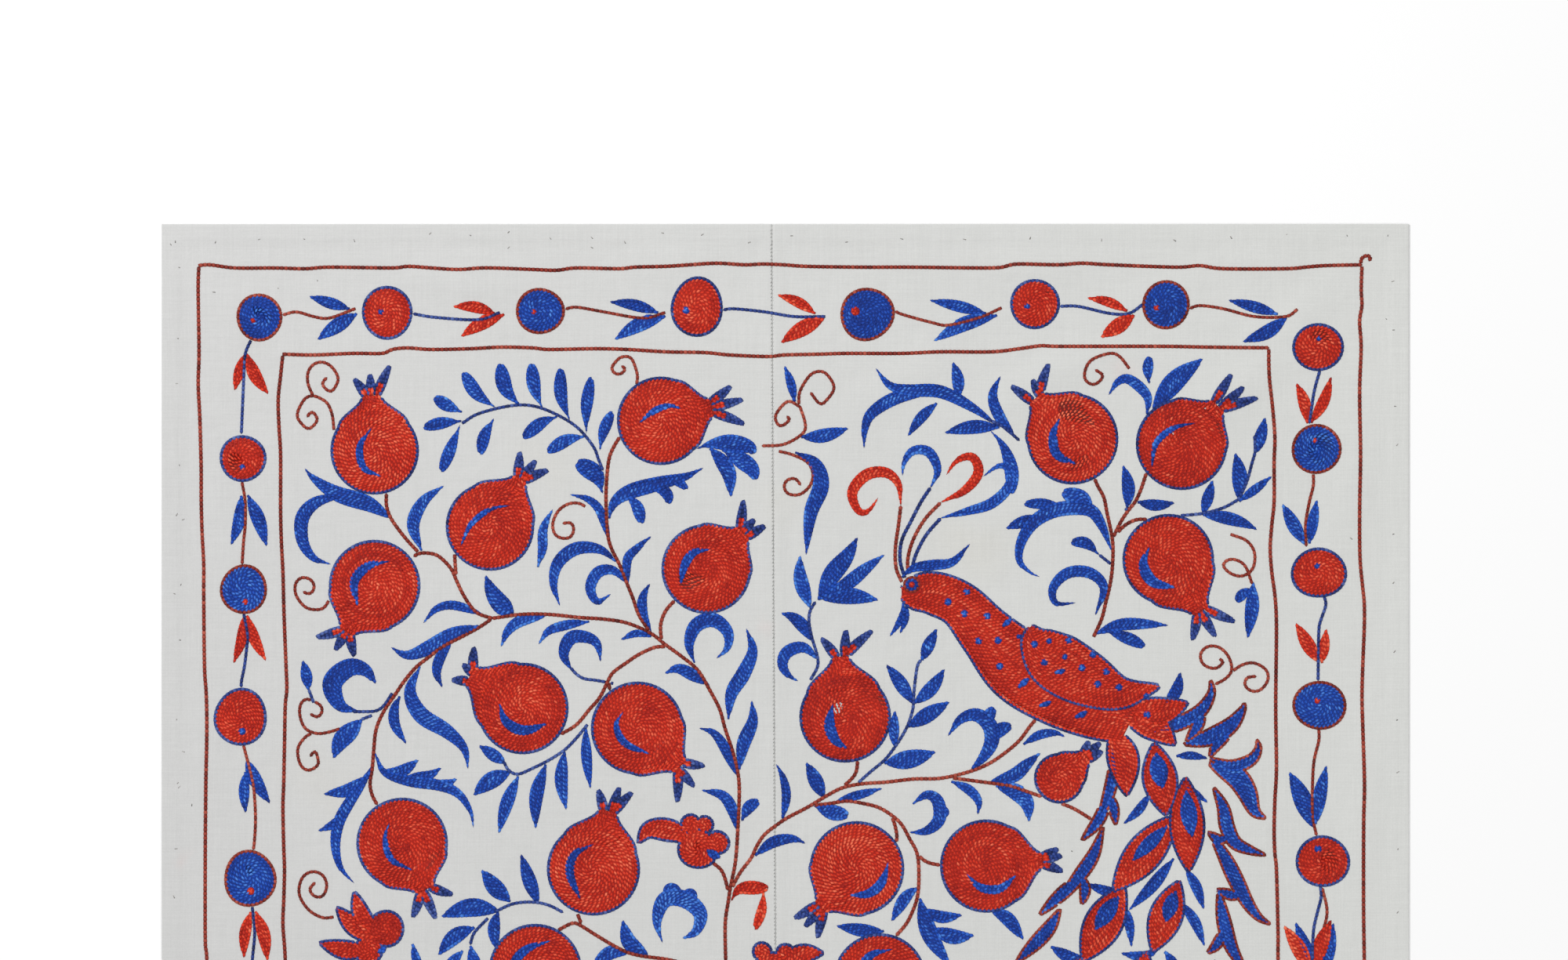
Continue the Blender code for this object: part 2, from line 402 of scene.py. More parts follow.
Leaf = namedtuple("Leaf", "width path belly blunt", defaults=(0.45, 0.0))
BLUE_BORDER_LEAVES = (
    Leaf(15, ((446, 394), (395, 378))),
    Leaf(19, ((455, 400), (405, 433))),
    Leaf(15, ((840, 399), (778, 385))),
    Leaf(19, ((849, 403), (784, 433))),
    Leaf(15, ((1258, 400), (1186, 383))),
    Leaf(19, ((1272, 402), (1191, 435))),
    Leaf(15, ((1630, 401), (1567, 383))),
    Leaf(18, ((1641, 405), (1585, 436))),
    Leaf(16, ((308, 632), (295, 695))),
    Leaf(18, ((316, 632), (340, 697))),
    Leaf(14, ((313, 985), (313, 1037))),
    Leaf(18, ((314, 968), (344, 1025))),
    Leaf(18, ((1664, 694), (1636, 643))),
    Leaf(15, ((1670, 694), (1680, 638))),
    Leaf(24, ((1675, 1056), (1645, 985))),
    Leaf(18, ((1678, 1052), (1692, 977))),
)
RED_BORDER_LEAVES = (
    Leaf(15, ((632, 400), (578, 391))),
    Leaf(18, ((643, 401), (588, 429))),
    Leaf(14, ((1040, 400), (992, 376))),
    Leaf(20, ((1052, 405), (996, 437))),
    Leaf(13, ((1438, 397), (1387, 380))),
    Leaf(20, ((1446, 402), (1404, 430))),
    Leaf(14, ((312, 452), (299, 498))),
    Leaf(17, ((315, 452), (342, 503))),
    Leaf(14, ((311, 785), (298, 846))),
    Leaf(15, ((315, 785), (339, 843))),
    Leaf(15, ((320, 1163), (311, 1222))),
    Leaf(17, ((326, 1163), (341, 1226))),
    Leaf(16, ((1668, 540), (1654, 489))),
    Leaf(15, ((1672, 540), (1698, 481))),
    Leaf(18, ((1683, 846), (1653, 795))),
    Leaf(14, ((1686, 846), (1692, 803))),
    Leaf(20, ((1672, 1240), (1638, 1181))),
    Leaf(20, ((1678, 1235), (1698, 1174))),
)

# Below the photograph the border runs on: flowers at these heights and places, up the right side from the
# foot, down the left side, and along the foot between them
RIGHT_FLOWERS_BELOW = (2548, 2400, 2215, 2030, 1845, 1660, 1475, 1290)
LEFT_FLOWERS_BELOW = (1302, 1485, 1668, 1851, 2034, 2217, 2400, 2548)
FOOT_FLOWERS = (505, 703, 901, 1099, 1297, 1495)
RIGHT_FLOWER_X = 1684
LEFT_FLOWER_X = 316
FOOT_FLOWER_Y = 2560
FLOWER_HALF = 30

# Pomegranates: middle and radius, the waist of the neck, three crown points, and the inlaid crescent
Fruit = namedtuple("Fruit", "x y r waist waist_half tips crescent crescent_width")
FRUITS = (
    Fruit(478, 575, 54, (474, 505), 11, ((452, 484), (472, 478), (497, 467)),
          ((474, 546), (459, 570), (464, 597), (486, 608)), 9),
    Fruit(843, 537, 54, (908, 520), 11, ((932, 493), (947, 510), (949, 541)),
          ((815, 540), (835, 524), (853, 518), (868, 521)), 8),
    Fruit(1368, 560, 56, (1321, 508), 11, ((1290, 493), (1317, 485), (1337, 465)),
          ((1352, 533), (1343, 555), (1348, 580), (1372, 592)), 12),
    Fruit(1507, 567, 56, (1553, 518), 11, ((1570, 478), (1586, 494), (1603, 508)),
          ((1524, 540), (1497, 546), (1474, 566), (1469, 596)), 8),
    Fruit(625, 672, 54, (664, 611), 9, ((663, 577), (683, 588), (699, 600)),
          ((650, 645), (625, 650), (600, 670), (588, 696)), 7),
    Fruit(478, 747, 56, (442, 806), 10, ((404, 813), (428, 829), (452, 837)),
          ((497, 716), (470, 722), (452, 742), (456, 773)), 12),
    Fruit(901, 726, 55, (948, 680), 11, ((948, 639), (962, 663), (976, 671)),
          ((906, 701), (885, 705), (873, 722), (868, 745)), 11),
    Fruit(1490, 714, 56, (1532, 780), 11, ((1521, 816), (1550, 812), (1575, 793)),
          ((1466, 698), (1458, 720), (1470, 742), (1498, 750)), 14),
    Fruit(667, 904, 56, (600, 862), 13, ((577, 868), (591, 848), (605, 826)),
          ((637, 897), (645, 920), (668, 932), (697, 924)), 13),
    Fruit(813, 929, 57, (868, 978), 11, ((898, 977), (885, 1003), (864, 1023)),
          ((795, 908), (786, 925), (797, 948), (828, 962)), 9),
    Fruit(1078, 915, 56, (1072, 838), 10, ((1048, 815), (1079, 804), (1112, 805)),
          ((1062, 898), (1058, 925), (1066, 945), (1080, 955)), 14),
    Fruit(513, 1076, 56, (543, 1135), 12, ((527, 1170), (556, 1172), (577, 1141)),
          ((497, 1050), (491, 1070), (500, 1097), (526, 1110)), 8),
    Fruit(757, 1109, 57, (776, 1035), 11, ((763, 1008), (790, 1005), (806, 1011)),
          ((757, 1077), (733, 1090), (727, 1115), (740, 1147)), 11),
    Fruit(1093, 1108, 58, (1047, 1158), 10, ((1013, 1172), (1027, 1182), (1043, 1196)),
          ((1133, 1100), (1125, 1125), (1108, 1140), (1084, 1142)), 12),
    Fruit(1258, 1105, 57, (1330, 1098), 9, ((1349, 1083), (1354, 1092), (1355, 1112)),
          ((1233, 1115), (1250, 1132), (1275, 1134), (1296, 1117)), 11),
    Fruit(1351, 993, 30, (1385, 965), 9, ((1388, 946), (1403, 948), (1406, 959)), (), 0),
    Fruit(683, 1238, 57, (640, 1290), 11, ((604, 1302), (622, 1318), (646, 1322)),
          ((703, 1200), (672, 1211), (655, 1232), (660, 1262)), 11),
    Fruit(1122, 1250, 57, (1160, 1306), 11, ((1150, 1340), (1176, 1336), (1198, 1320)),
          ((1138, 1211), (1112, 1218), (1098, 1238), (1104, 1268)), 11),
)

# Dark red vines and their branches
VINES = (
    ((926, 1240), (925, 1180), (929, 1150), (932, 1130), (938, 1100), (941, 1060), (943, 1010), (941, 985),
     (935, 960), (925, 930), (918, 905), (905, 880), (890, 855), (870, 838), (848, 822), (830, 808),
     (800, 795), (770, 790), (740, 788), (700, 784), (665, 784), (628, 789)),
    ((628, 789), (610, 783), (600, 773), (590, 757), (582, 740), (575, 725), (560, 710), (548, 706),
     (535, 706), (528, 710)),
    ((580, 708), (581, 725), (583, 745)),
    ((535, 706), (520, 690), (508, 675), (498, 660), (493, 645), (493, 630)),
    ((628, 789), (612, 800), (590, 812), (565, 825), (545, 840), (530, 852), (515, 870), (505, 885),
     (490, 907), (480, 930), (477, 955), (475, 980), (472, 1000), (475, 1015), (482, 1028)),
    ((845, 822), (843, 810), (843, 795), (850, 778), (864, 763)),
    ((848, 825), (835, 826), (815, 835), (800, 845), (782, 858), (776, 868), (765, 890), (752, 905),
     (735, 925), (713, 938)),
    ((776, 868), (779, 888)),
    ((830, 808), (815, 785), (808, 765), (800, 745), (790, 720), (780, 700), (775, 680), (773, 640),
     (774, 610), (777, 585), (783, 570), (791, 557)),
    ((1395, 812), (1405, 790), (1410, 770), (1416, 745), (1419, 720), (1419, 690), (1412, 655),
     (1408, 635), (1400, 620), (1395, 608)),
    ((1420, 685), (1430, 665), (1440, 650), (1448, 640), (1455, 625), (1462, 604)),
    ((1422, 683), (1435, 670), (1450, 663), (1465, 663)),
    ((930, 1145), (935, 1130), (945, 1112), (958, 1095), (965, 1080), (975, 1065), (990, 1053), (1005, 1043),
     (1030, 1030), (1055, 1015), (1075, 1005), (1100, 1000), (1130, 998), (1165, 994), (1200, 993),
     (1235, 985), (1260, 975), (1280, 962), (1300, 945), (1315, 925), (1327, 912)),
    ((1210, 992), (1240, 996), (1270, 1000), (1290, 1003), (1310, 1010), (1350, 1024), (1370, 1032),
     (1393, 1046)),
    ((1035, 1028), (1060, 1025), (1080, 1022), (1100, 1025), (1120, 1030), (1137, 1040), (1150, 1052),
     (1160, 1070), (1170, 1090), (1172, 1120), (1170, 1145), (1163, 1165), (1155, 1180), (1140, 1197)),
    ((1137, 1040), (1142, 1055), (1144, 1070), (1140, 1082)),
    ((1168, 1085), (1175, 1095), (1185, 1101), (1200, 1104)),
    ((1070, 1008), (1085, 995), (1092, 985), (1094, 970)),
    ((710, 1188), (725, 1180), (735, 1178), (760, 1193), (780, 1205), (800, 1215), (820, 1220),
     (850, 1224), (885, 1232), (926, 1240)),
    ((737, 1167), (742, 1180)),
    ((908, 1100), (920, 1110), (926, 1125), (930, 1145)),
)

# Thin dark blue stems of the leaf sprays
STEMS = (
    ((590, 540), (610, 528), (650, 518), (680, 518), (710, 529), (737, 546), (757, 570), (763, 585),
     (769, 600)),
    ((1034, 867), (1043, 850), (1042, 835), (1036, 815), (1032, 795), (1033, 780), (1040, 768)),
    ((1090, 1003), (1110, 985), (1128, 970), (1140, 955), (1150, 940), (1158, 925), (1163, 910),
     (1165, 900), (1166, 880), (1170, 850), (1175, 842)),
    ((782, 872), (760, 868), (745, 866), (735, 860), (728, 852)),
    ((500, 885), (490, 900), (480, 907), (465, 908), (450, 908)),
    ((749, 925), (735, 942), (720, 957), (700, 970), (680, 980), (660, 988), (648, 982), (643, 972)),
    ((632, 1163), (655, 1153), (680, 1151), (700, 1155), (718, 1164)),
    ((622, 1172), (605, 1190), (600, 1205)),
    ((1505, 658), (1535, 655), (1560, 648), (1575, 640), (1580, 636), (1590, 615), (1597, 590),
     (1601, 575), (1600, 556)),
    ((1260, 535), (1280, 545), (1300, 562)),
    ((474, 913), (461, 918)),
    ((400, 896), (394, 880)),
    ((1434, 658), (1437, 648)),
    ((1416, 719), (1402, 708)),
)

# Dark red tendrils, each curling in on itself
TENDRILS = (
    ((399, 504), (393, 490), (393, 475), (400, 465), (411, 462), (422, 467), (430, 478), (431, 487),
     (422, 500), (411, 490), (417, 482)),
    ((426, 548), (424, 530), (418, 515), (408, 508), (398, 505), (388, 510), (379, 530), (388, 544),
     (395, 547), (405, 536), (398, 525), (392, 532)),
    ((812, 490), (813, 478), (806, 458), (798, 455), (790, 457), (780, 470), (788, 478), (798, 472),
     (793, 467)),
    ((1020, 519), (1005, 512), (990, 528), (990, 538), (996, 544), (1007, 536), (1004, 531)),
    ((1019, 515), (1020, 500), (1032, 480), (1043, 474), (1054, 477), (1064, 495), (1052, 513),
     (1045, 515), (1034, 501)),
    ((1019, 515), (1027, 540), (1024, 553), (1000, 567), (972, 569)),
    ((1440, 470), (1428, 455), (1415, 451), (1390, 461), (1383, 482), (1395, 491), (1407, 480),
     (1397, 472)),
    ((994, 576), (1010, 580), (1030, 590), (1037, 605), (1033, 620), (1020, 631), (1005, 630),
     (1000, 620), (1005, 612), (1015, 611), (1021, 619)),
    ((419, 767), (414, 775), (405, 778), (390, 775), (378, 760), (377, 745), (385, 737), (397, 740),
     (401, 750), (395, 758), (387, 755)),
    ((433, 930), (420, 934), (405, 936), (390, 930), (383, 915), (383, 900), (390, 892), (400, 895),
     (409, 900), (411, 908), (405, 915), (396, 911)),
    ((400, 935), (390, 940), (380, 955), (383, 975), (393, 983), (405, 977), (406, 970), (402, 958),
     (396, 965)),
    ((425, 1170), (412, 1171), (395, 1162), (383, 1145), (382, 1130), (388, 1117), (400, 1112),
     (412, 1117), (417, 1130), (412, 1143), (402, 1144), (395, 1135), (402, 1126)),
    ((746, 646), (738, 642), (725, 643), (712, 652), (705, 668), (708, 682), (718, 687), (728, 685),
     (732, 675), (728, 667), (718, 668)),
    ((1570, 682), (1590, 690), (1600, 705), (1598, 725), (1585, 735), (1570, 732), (1560, 722),
     (1565, 715), (1575, 714), (1588, 722), (1597, 745)),
    ((1556, 841), (1560, 845), (1550, 853), (1535, 848), (1531, 835), (1540, 825), (1555, 826),
     (1567, 838), (1571, 855), (1563, 866), (1550, 873)),
    ((1571, 857), (1585, 848), (1600, 846), (1615, 855), (1617, 868), (1608, 880), (1597, 882),
     (1588, 875), (1590, 865), (1602, 863)),
)

# Blue leaves and curling leaf sprays of the field, from the top row down
BLUE_LEAVES = (
    # fern between the first two pomegranates
    Leaf(17, ((590, 526), (572, 518), (554, 507)), 0.62, 0.7),
    Leaf(16, ((590, 537), (562, 540), (540, 546)), 0.6, 0.7),
    Leaf(16, ((587, 542), (575, 572), (563, 602)), 0.62, 0.8),
    Leaf(18, ((632, 520), (608, 502), (591, 475)), 0.62, 0.7),
    Leaf(20, ((664, 518), (645, 496), (638, 464)), 0.62, 0.7),
    Leaf(18, ((692, 521), (682, 496), (678, 464)), 0.62, 0.8),
    Leaf(17, ((727, 537), (716, 506), (715, 470)), 0.6, 0.8),
    Leaf(16, ((748, 553), (748, 520), (754, 481)), 0.6, 0.7),
    Leaf(16, ((630, 534), (618, 556), (613, 580)), 0.6, 0.7),
    Leaf(17, ((712, 531), (690, 540), (667, 559)), 0.6, 0.7),
    Leaf(17, ((748, 556), (722, 562), (698, 577)), 0.6, 0.7),
    Leaf(15, ((765, 575), (770, 550), (781, 525)), 0.62, 0.7),
    Leaf(24, ((769, 630), (760, 606), (736, 590)), 0.62, 0.9),
    # by the second pomegranate and its tendrils
    Leaf(22, ((888, 573), (905, 567), (930, 565), (955, 570), (962, 579)), 0.6, 0.8),
    Leaf(20, ((905, 572), (918, 585), (930, 605), (932, 634)), 0.45),
    Leaf(22, ((920, 574), (940, 584), (958, 597), (964, 612)), 0.55, 0.7),
    Leaf(12, ((1014, 513), (1001, 467))),
    Leaf(18, ((1022, 558), (1050, 556), (1082, 547))),
    # acanthus spray left of the third pomegranate
    Leaf(17, ((1275, 545), (1240, 520), (1200, 500), (1160, 498), (1135, 492), (1117, 470)), 0.55),
    Leaf(17, ((1190, 500), (1145, 507), (1112, 527), (1103, 548), (1102, 572)), 0.4),
    Leaf(16, ((1222, 508), (1222, 485), (1216, 462))),
    Leaf(14, ((1195, 514), (1158, 556))),
    Leaf(18, ((1275, 545), (1240, 545), (1205, 552))),
    Leaf(15, ((1296, 560), (1275, 532), (1266, 505), (1276, 480))),
    Leaf(18, ((1262, 548), (1280, 570), (1290, 600), (1290, 630)), 0.7, 0.8),
    # sprout over the fourth pomegranate
    Leaf(14, ((1466, 490), (1466, 455)), 0.6, 0.8),
    Leaf(14, ((1463, 530), (1463, 505), (1440, 484), (1425, 488), (1414, 504))),
    Leaf(26, ((1470, 522), (1500, 485), (1534, 458))),
    Leaf(16, ((1600, 580), (1614, 533))),
    # left edge, beside the fifth and sixth pomegranates
    Leaf(22, ((500, 662), (470, 643), (430, 630), (402, 612), (389, 598)), 0.4),
    Leaf(18, ((440, 632), (405, 640), (386, 660), (386, 690), (400, 712), (422, 720))),
    Leaf(17, ((538, 703), (527, 670), (540, 640), (566, 620))),
    Leaf(13, ((686, 724), (692, 700), (693, 675), (705, 650))),
    # curls on the vine in the middle
    Leaf(12, ((778, 694), (772, 670), (763, 648), (748, 636), (727, 631))),
    Leaf(17, ((788, 718), (765, 701), (735, 700), (712, 718), (706, 745), (714, 773))),
    Leaf(15, ((800, 745), (783, 728), (763, 730), (753, 750), (762, 768), (779, 758))),
    Leaf(12, ((801, 748), (800, 715), (812, 700), (831, 684))),
    Leaf(14, ((831, 806), (820, 785), (820, 762), (829, 745))),
    Leaf(10, ((831, 812), (812, 808), (792, 816))),
    Leaf(17, ((730, 856), (719, 835), (728, 814), (748, 813), (762, 822), (766, 844))),
    Leaf(13, ((752, 793), (725, 797), (700, 805), (687, 822))),
    Leaf(15, ((700, 784), (665, 792), (648, 805), (639, 825))),
    Leaf(24, ((655, 785), (638, 770), (626, 752), (620, 734)), 0.3),
    Leaf(12, ((620, 787), (600, 778), (575, 772), (555, 778), (540, 795))),
    Leaf(20, ((612, 798), (580, 808), (548, 826), (520, 836), (499, 826))),
    Leaf(14, ((577, 817), (562, 838), (557, 858), (564, 877))),
    # acanthus between the second and seventh pomegranates
    Leaf(20, ((777, 662), (783, 642), (802, 628), (840, 617), (875, 608), (897, 597)), 0.4),
    Leaf(15, ((825, 622), (843, 624), (852, 632), (853, 643)), 0.6, 0.8),
    Leaf(11, ((850, 614), (866, 616), (877, 624)), 0.6, 0.8),
    Leaf(16, ((797, 632), (812, 645), (819, 668)), 0.6, 0.7),
    Leaf(19, ((886, 846), (879, 822), (888, 798), (910, 791), (928, 806), (928, 826), (914, 840))),
    Leaf(19, ((929, 918), (933, 885), (948, 860), (960, 830), (952, 802))),
    # spray over the eleventh pomegranate
    Leaf(17, ((1036, 818), (1025, 800), (1012, 788), (997, 782))),
    Leaf(16, ((1044, 842), (1025, 826), (1004, 832), (998, 848), (1006, 862), (1018, 869))),
    Leaf(19, ((1034, 776), (1024, 750), (1020, 730), (1021, 709))),
    Leaf(24, ((1044, 766), (1060, 735), (1080, 710), (1094, 686))),
    Leaf(18, ((1050, 762), (1080, 745), (1105, 725), (1128, 708))),
    Leaf(22, ((1046, 764), (1075, 760), (1100, 762), (1120, 766))),
    Leaf(21, ((1014, 577), (1040, 592), (1047, 620), (1034, 655), (1028, 708)), 0.4),
    # around the two pomegranates of the top right
    Leaf(20, ((1580, 638), (1576, 578))),
    Leaf(12, ((1580, 640), (1600, 625), (1622, 608))),
    Leaf(15, ((1534, 656), (1547, 613))),
    Leaf(17, ((1533, 657), (1560, 660), (1585, 667), (1603, 676))),
    Leaf(17, ((1438, 648), (1433, 594))),
    Leaf(15, ((1451, 641), (1498, 642))),
    Leaf(15, ((1402, 708), (1385, 693), (1366, 692)), 0.6, 0.8),
    Leaf(19, ((1418, 703), (1404, 668), (1388, 650), (1350, 650), (1320, 665), (1303, 690), (1300, 715),
              (1313, 730), (1326, 736)), 0.4),
    Leaf(24, ((1396, 652), (1378, 637), (1355, 628)), 0.5, 0.8),
    Leaf(14, ((1362, 648), (1332, 643), (1306, 643)), 0.6, 0.8),
    Leaf(16, ((1328, 660), (1302, 667), (1283, 674))),
    Leaf(15, ((1397, 785), (1408, 750), (1390, 731), (1362, 731), (1343, 750), (1347, 770), (1372, 769))),
    Leaf(16, ((1395, 810), (1425, 798), (1455, 796), (1490, 798))),
    Leaf(16, ((1408, 804), (1440, 815), (1460, 825)), 0.6, 0.8),
    Leaf(18, ((1598, 743), (1597, 775), (1591, 814))),
    Leaf(14, ((1598, 750), (1585, 758), (1577, 768)), 0.6, 0.8),
    # lower left
    Leaf(14, ((510, 888), (503, 905), (504, 925), (518, 949))),
    Leaf(21, ((536, 850), (523, 882), (537, 912), (570, 933), (592, 955), (597, 981))),
    Leaf(26, ((460, 908), (434, 900), (424, 872), (445, 852), (466, 855), (479, 872)), 0.5, 0.3),
    Leaf(15, ((394, 880), (391, 862), (387, 843))),
    Leaf(24, ((461, 918), (450, 930), (435, 945), (425, 967))),
    Leaf(15, ((478, 972), (462, 1000), (445, 1025), (432, 1050), (428, 1080), (435, 1108), (452, 1127))),
    Leaf(17, ((470, 990), (445, 1008), (413, 1013))),
    Leaf(12, ((445, 1035), (425, 1052), (406, 1060))),
    Leaf(15, ((478, 960), (490, 985), (520, 996), (560, 1002), (585, 1013), (600, 1035), (604, 1056))),
    Leaf(16, ((490, 983), (510, 985), (534, 970))),
    Leaf(14, ((515, 993), (545, 990), (563, 980))),
    Leaf(12, ((550, 1000), (570, 1000), (583, 994))),
    # fern between the ninth and thirteenth pomegranates
    Leaf(16, ((645, 974), (612, 951))),
    Leaf(22, ((651, 985), (604, 1014))),
    Leaf(17, ((661, 990), (636, 1063))),
    Leaf(18, ((696, 975), (683, 1057))),
    Leaf(17, ((720, 958), (722, 1033))),
    Leaf(14, ((747, 928), (753, 1006))),
    # along the trunk
    Leaf(18, ((943, 982), (948, 950), (960, 920), (959, 894))),
    Leaf(14, ((941, 991), (925, 955), (910, 935), (892, 929))),
    Leaf(16, ((905, 874), (885, 862), (865, 853), (848, 859))),
    Leaf(15, ((941, 1062), (935, 1035), (922, 1015), (895, 1008))),
    Leaf(16, ((946, 1048), (955, 1030), (968, 1022)), 0.6, 0.8),
    Leaf(12, ((998, 1047), (1003, 1015), (998, 990), (990, 975))),
    Leaf(15, ((963, 1092), (985, 1075), (1010, 1070), (1027, 1076))),
    # below the bird
    Leaf(18, ((1164, 897), (1131, 848))),
    Leaf(18, ((1166, 898), (1205, 854))),
    Leaf(20, ((1158, 928), (1211, 896))),
    Leaf(14, ((1141, 953), (1142, 907))),
    Leaf(24, ((1128, 974), (1193, 960))),
    Leaf(16, ((1176, 843), (1195, 803))),
    Leaf(19, ((1051, 1018), (1029, 973))),
    Leaf(12, ((1066, 1022), (1100, 1013), (1125, 1006))),
    Leaf(20, ((1037, 1028), (1082, 1040)), 0.6, 0.8),
    Leaf(17, ((1164, 1026), (1182, 1014), (1196, 1022), (1198, 1045), (1182, 1060), (1160, 1062)), 0.5),
    Leaf(13, ((1213, 997), (1235, 1007), (1248, 1022), (1247, 1039))),
    Leaf(18, ((1262, 998), (1292, 990), (1310, 975), (1327, 961))),
    Leaf(22, ((1270, 1003), (1295, 1010), (1310, 1025), (1312, 1048))),
    Leaf(20, ((1237, 984), (1255, 965), (1265, 945), (1262, 925), (1245, 912), (1225, 918), (1209, 939))),
    Leaf(16, ((1258, 925), (1262, 912), (1268, 903)), 0.5, 0.8),
    Leaf(18, ((1262, 945), (1276, 931), (1290, 926)), 0.5, 0.8),
    Leaf(12, ((1305, 950), (1325, 938), (1345, 935), (1358, 940))),
    Leaf(16, ((1485, 900), (1500, 882), (1506, 858))),
    Leaf(16, ((1171, 1132), (1155, 1145), (1137, 1175))),
    # at the photograph's lower edge
    Leaf(22, ((1173, 1146), (1180, 1175), (1190, 1200), (1212, 1232))),
    Leaf(16, ((1178, 1160), (1200, 1170), (1227, 1168))),
    Leaf(20, ((1190, 1185), (1215, 1195), (1242, 1194))),
    Leaf(18, ((1263, 1161), (1285, 1172), (1305, 1199))),
    Leaf(17, ((1127, 1188), (1100, 1187), (1067, 1181))),
    Leaf(24, ((637, 1162), (600, 1158), (563, 1169))),
    Leaf(22, ((651, 1150), (615, 1110))),
    Leaf(18, ((687, 1154), (665, 1090))),
    Leaf(16, ((635, 1163), (630, 1185), (633, 1212))),
    Leaf(20, ((605, 1183), (580, 1195), (559, 1218))),
    Leaf(18, ((600, 1207), (606, 1232), (616, 1262))),
    Leaf(12, ((526, 1204), (545, 1250))),
    Leaf(14, ((590, 1213), (560, 1244))),
    Leaf(18, ((800, 1217), (780, 1215), (756, 1230))),
    Leaf(20, ((828, 1221), (805, 1205), (798, 1190), (795, 1174))),
    Leaf(22, ((845, 1203), (838, 1175), (848, 1148), (872, 1147), (893, 1165), (888, 1188), (871, 1197)),
         0.5, 0.3),
)

Spot = namedtuple("Spot", "x y r")
BLUE_LOBES = (Spot(857, 1138, 12), Spot(880, 1143, 10), Spot(1203, 1036, 8))

# Small red flowers: their lobes, from the middle outwards, then the horns, and the blue inlay
RedFlower = namedtuple("RedFlower", "lobes horns inlay inlay_width")
RED_FLOWERS = (
    RedFlower((Spot(492, 1185, 22), Spot(470, 1212, 17)),
              (Leaf(20, ((480, 1190), (462, 1168), (452, 1138))),
               Leaf(22, ((478, 1200), (450, 1180), (430, 1158))),
               Leaf(22, ((472, 1212), (440, 1212), (408, 1203)))),
              ((482, 1216), (493, 1209)), 9),
    RedFlower((Spot(890, 1083, 24), Spot(881, 1052, 12), Spot(899, 1052, 10), Spot(915, 1075, 14)),
              (Leaf(26, ((880, 1078), (862, 1062), (830, 1058), (814, 1075))),),
              ((901, 1085), (918, 1095)), 12),
    RedFlower((Spot(985, 1242, 26), Spot(972, 1214, 11), Spot(1002, 1216, 11)),
              (Leaf(24, ((996, 1236), (1022, 1218), (1050, 1216))),),
              ((976, 1240), (992, 1252)), 11),
)
RED_LEAVES = (
    Leaf(18, ((932, 1150), (945, 1134), (980, 1133)), 0.6, 0.8),
    Leaf(13, ((974, 1134), (972, 1160), (963, 1186)), 0.6, 0.8),
)

# The bird. A band is a spine with a half width at each of its points.
Band = namedtuple("Band", "path halves")
BIRD_BODY = Band(((1150, 757), (1165, 757), (1190, 757), (1225, 772), (1258, 808), (1300, 850), (1350, 880),
                  (1400, 905), (1440, 925)), (8, 20, 26, 28, 34, 45, 45, 38, 25))
BIRD_WING = Band(((1314, 800), (1322, 818), (1345, 842), (1385, 866), (1430, 884), (1478, 876)),
                 (4, 22, 36, 34, 20, 2))
BIRD_FEATHERS = (
    Leaf(34, ((1440, 902), (1478, 908), (1515, 897))),
    Leaf(34, ((1435, 918), (1470, 926), (1499, 950))),
    Leaf(38, ((1418, 930), (1432, 966), (1437, 1015))),
)
BIRD_HEAD = Leaf(14, ((1150, 737), (1165, 725), (1190, 721), (1215, 717), (1237, 694)), 0.4)
BIRD_BEAK = (Leaf(9, ((1152, 768), (1150, 788), (1135, 812))), Leaf(9, ((1156, 770), (1155, 790), (1148, 808))))
BIRD_EYE = Spot(1163, 746, 9)
BIRD_PUPIL = Spot(1163, 746, 4)
BIRD_SPOTS = (
    Spot(1233, 755, 5), Spot(1230, 783, 5), Spot(1259, 786, 5), Spot(1248, 818, 5), Spot(1273, 817, 5),
    Spot(1275, 850, 5), Spot(1319, 822, 5), Spot(1338, 818, 4), Spot(1363, 817, 5), Spot(1332, 845, 5),
    Spot(1358, 838, 4), Spot(1394, 835, 5), Spot(1380, 852, 5), Spot(1411, 857, 5), Spot(1400, 873, 5),
    Spot(1427, 877, 5), Spot(1463, 912, 5), Spot(1209, 768, 5), Spot(1300, 812, 4), Spot(1462, 888, 4),
)
BIRD_DASHES = (
    Leaf(8, ((1279, 800), (1291, 790)), 0.5, 0.5),
    Leaf(8, ((1345, 859), (1359, 855)), 0.5, 0.5),
    Leaf(9, ((1299, 878), (1313, 866)), 0.5, 0.5),
    Leaf(8, ((1325, 901), (1341, 895)), 0.5, 0.5),
    Leaf(9, ((1371, 916), (1387, 908)), 0.5, 0.5),
)
CREST_LINES = (
    Line("red", ((1150, 742), (1143, 725), (1142, 700), (1146, 670), (1149, 645))),
    Line("blue", ((1154, 737), (1148, 715), (1150, 690), (1162, 665), (1175, 640), (1187, 622))),
    Line("red", ((1158, 731), (1158, 712), (1165, 688), (1180, 662), (1200, 641))),
    Line("blue", ((1163, 727), (1168, 708), (1181, 683), (1200, 661))),
)
CREST_RED = (
    Leaf(15, ((1149, 645), (1146, 618), (1130, 603), (1105, 606), (1087, 628), (1095, 652), (1108, 652),
              (1120, 635))),
    Leaf(13, ((1200, 641), (1230, 626), (1248, 603), (1240, 583), (1220, 588), (1207, 606))),
)
CREST_BLUE = (
    Leaf(13, ((1187, 622), (1196, 600), (1185, 577), (1165, 575), (1153, 590), (1151, 607))),
    Leaf(14, ((1200, 661), (1235, 652), (1265, 642), (1287, 620), (1286, 598), (1272, 595), (1254, 608))),
)

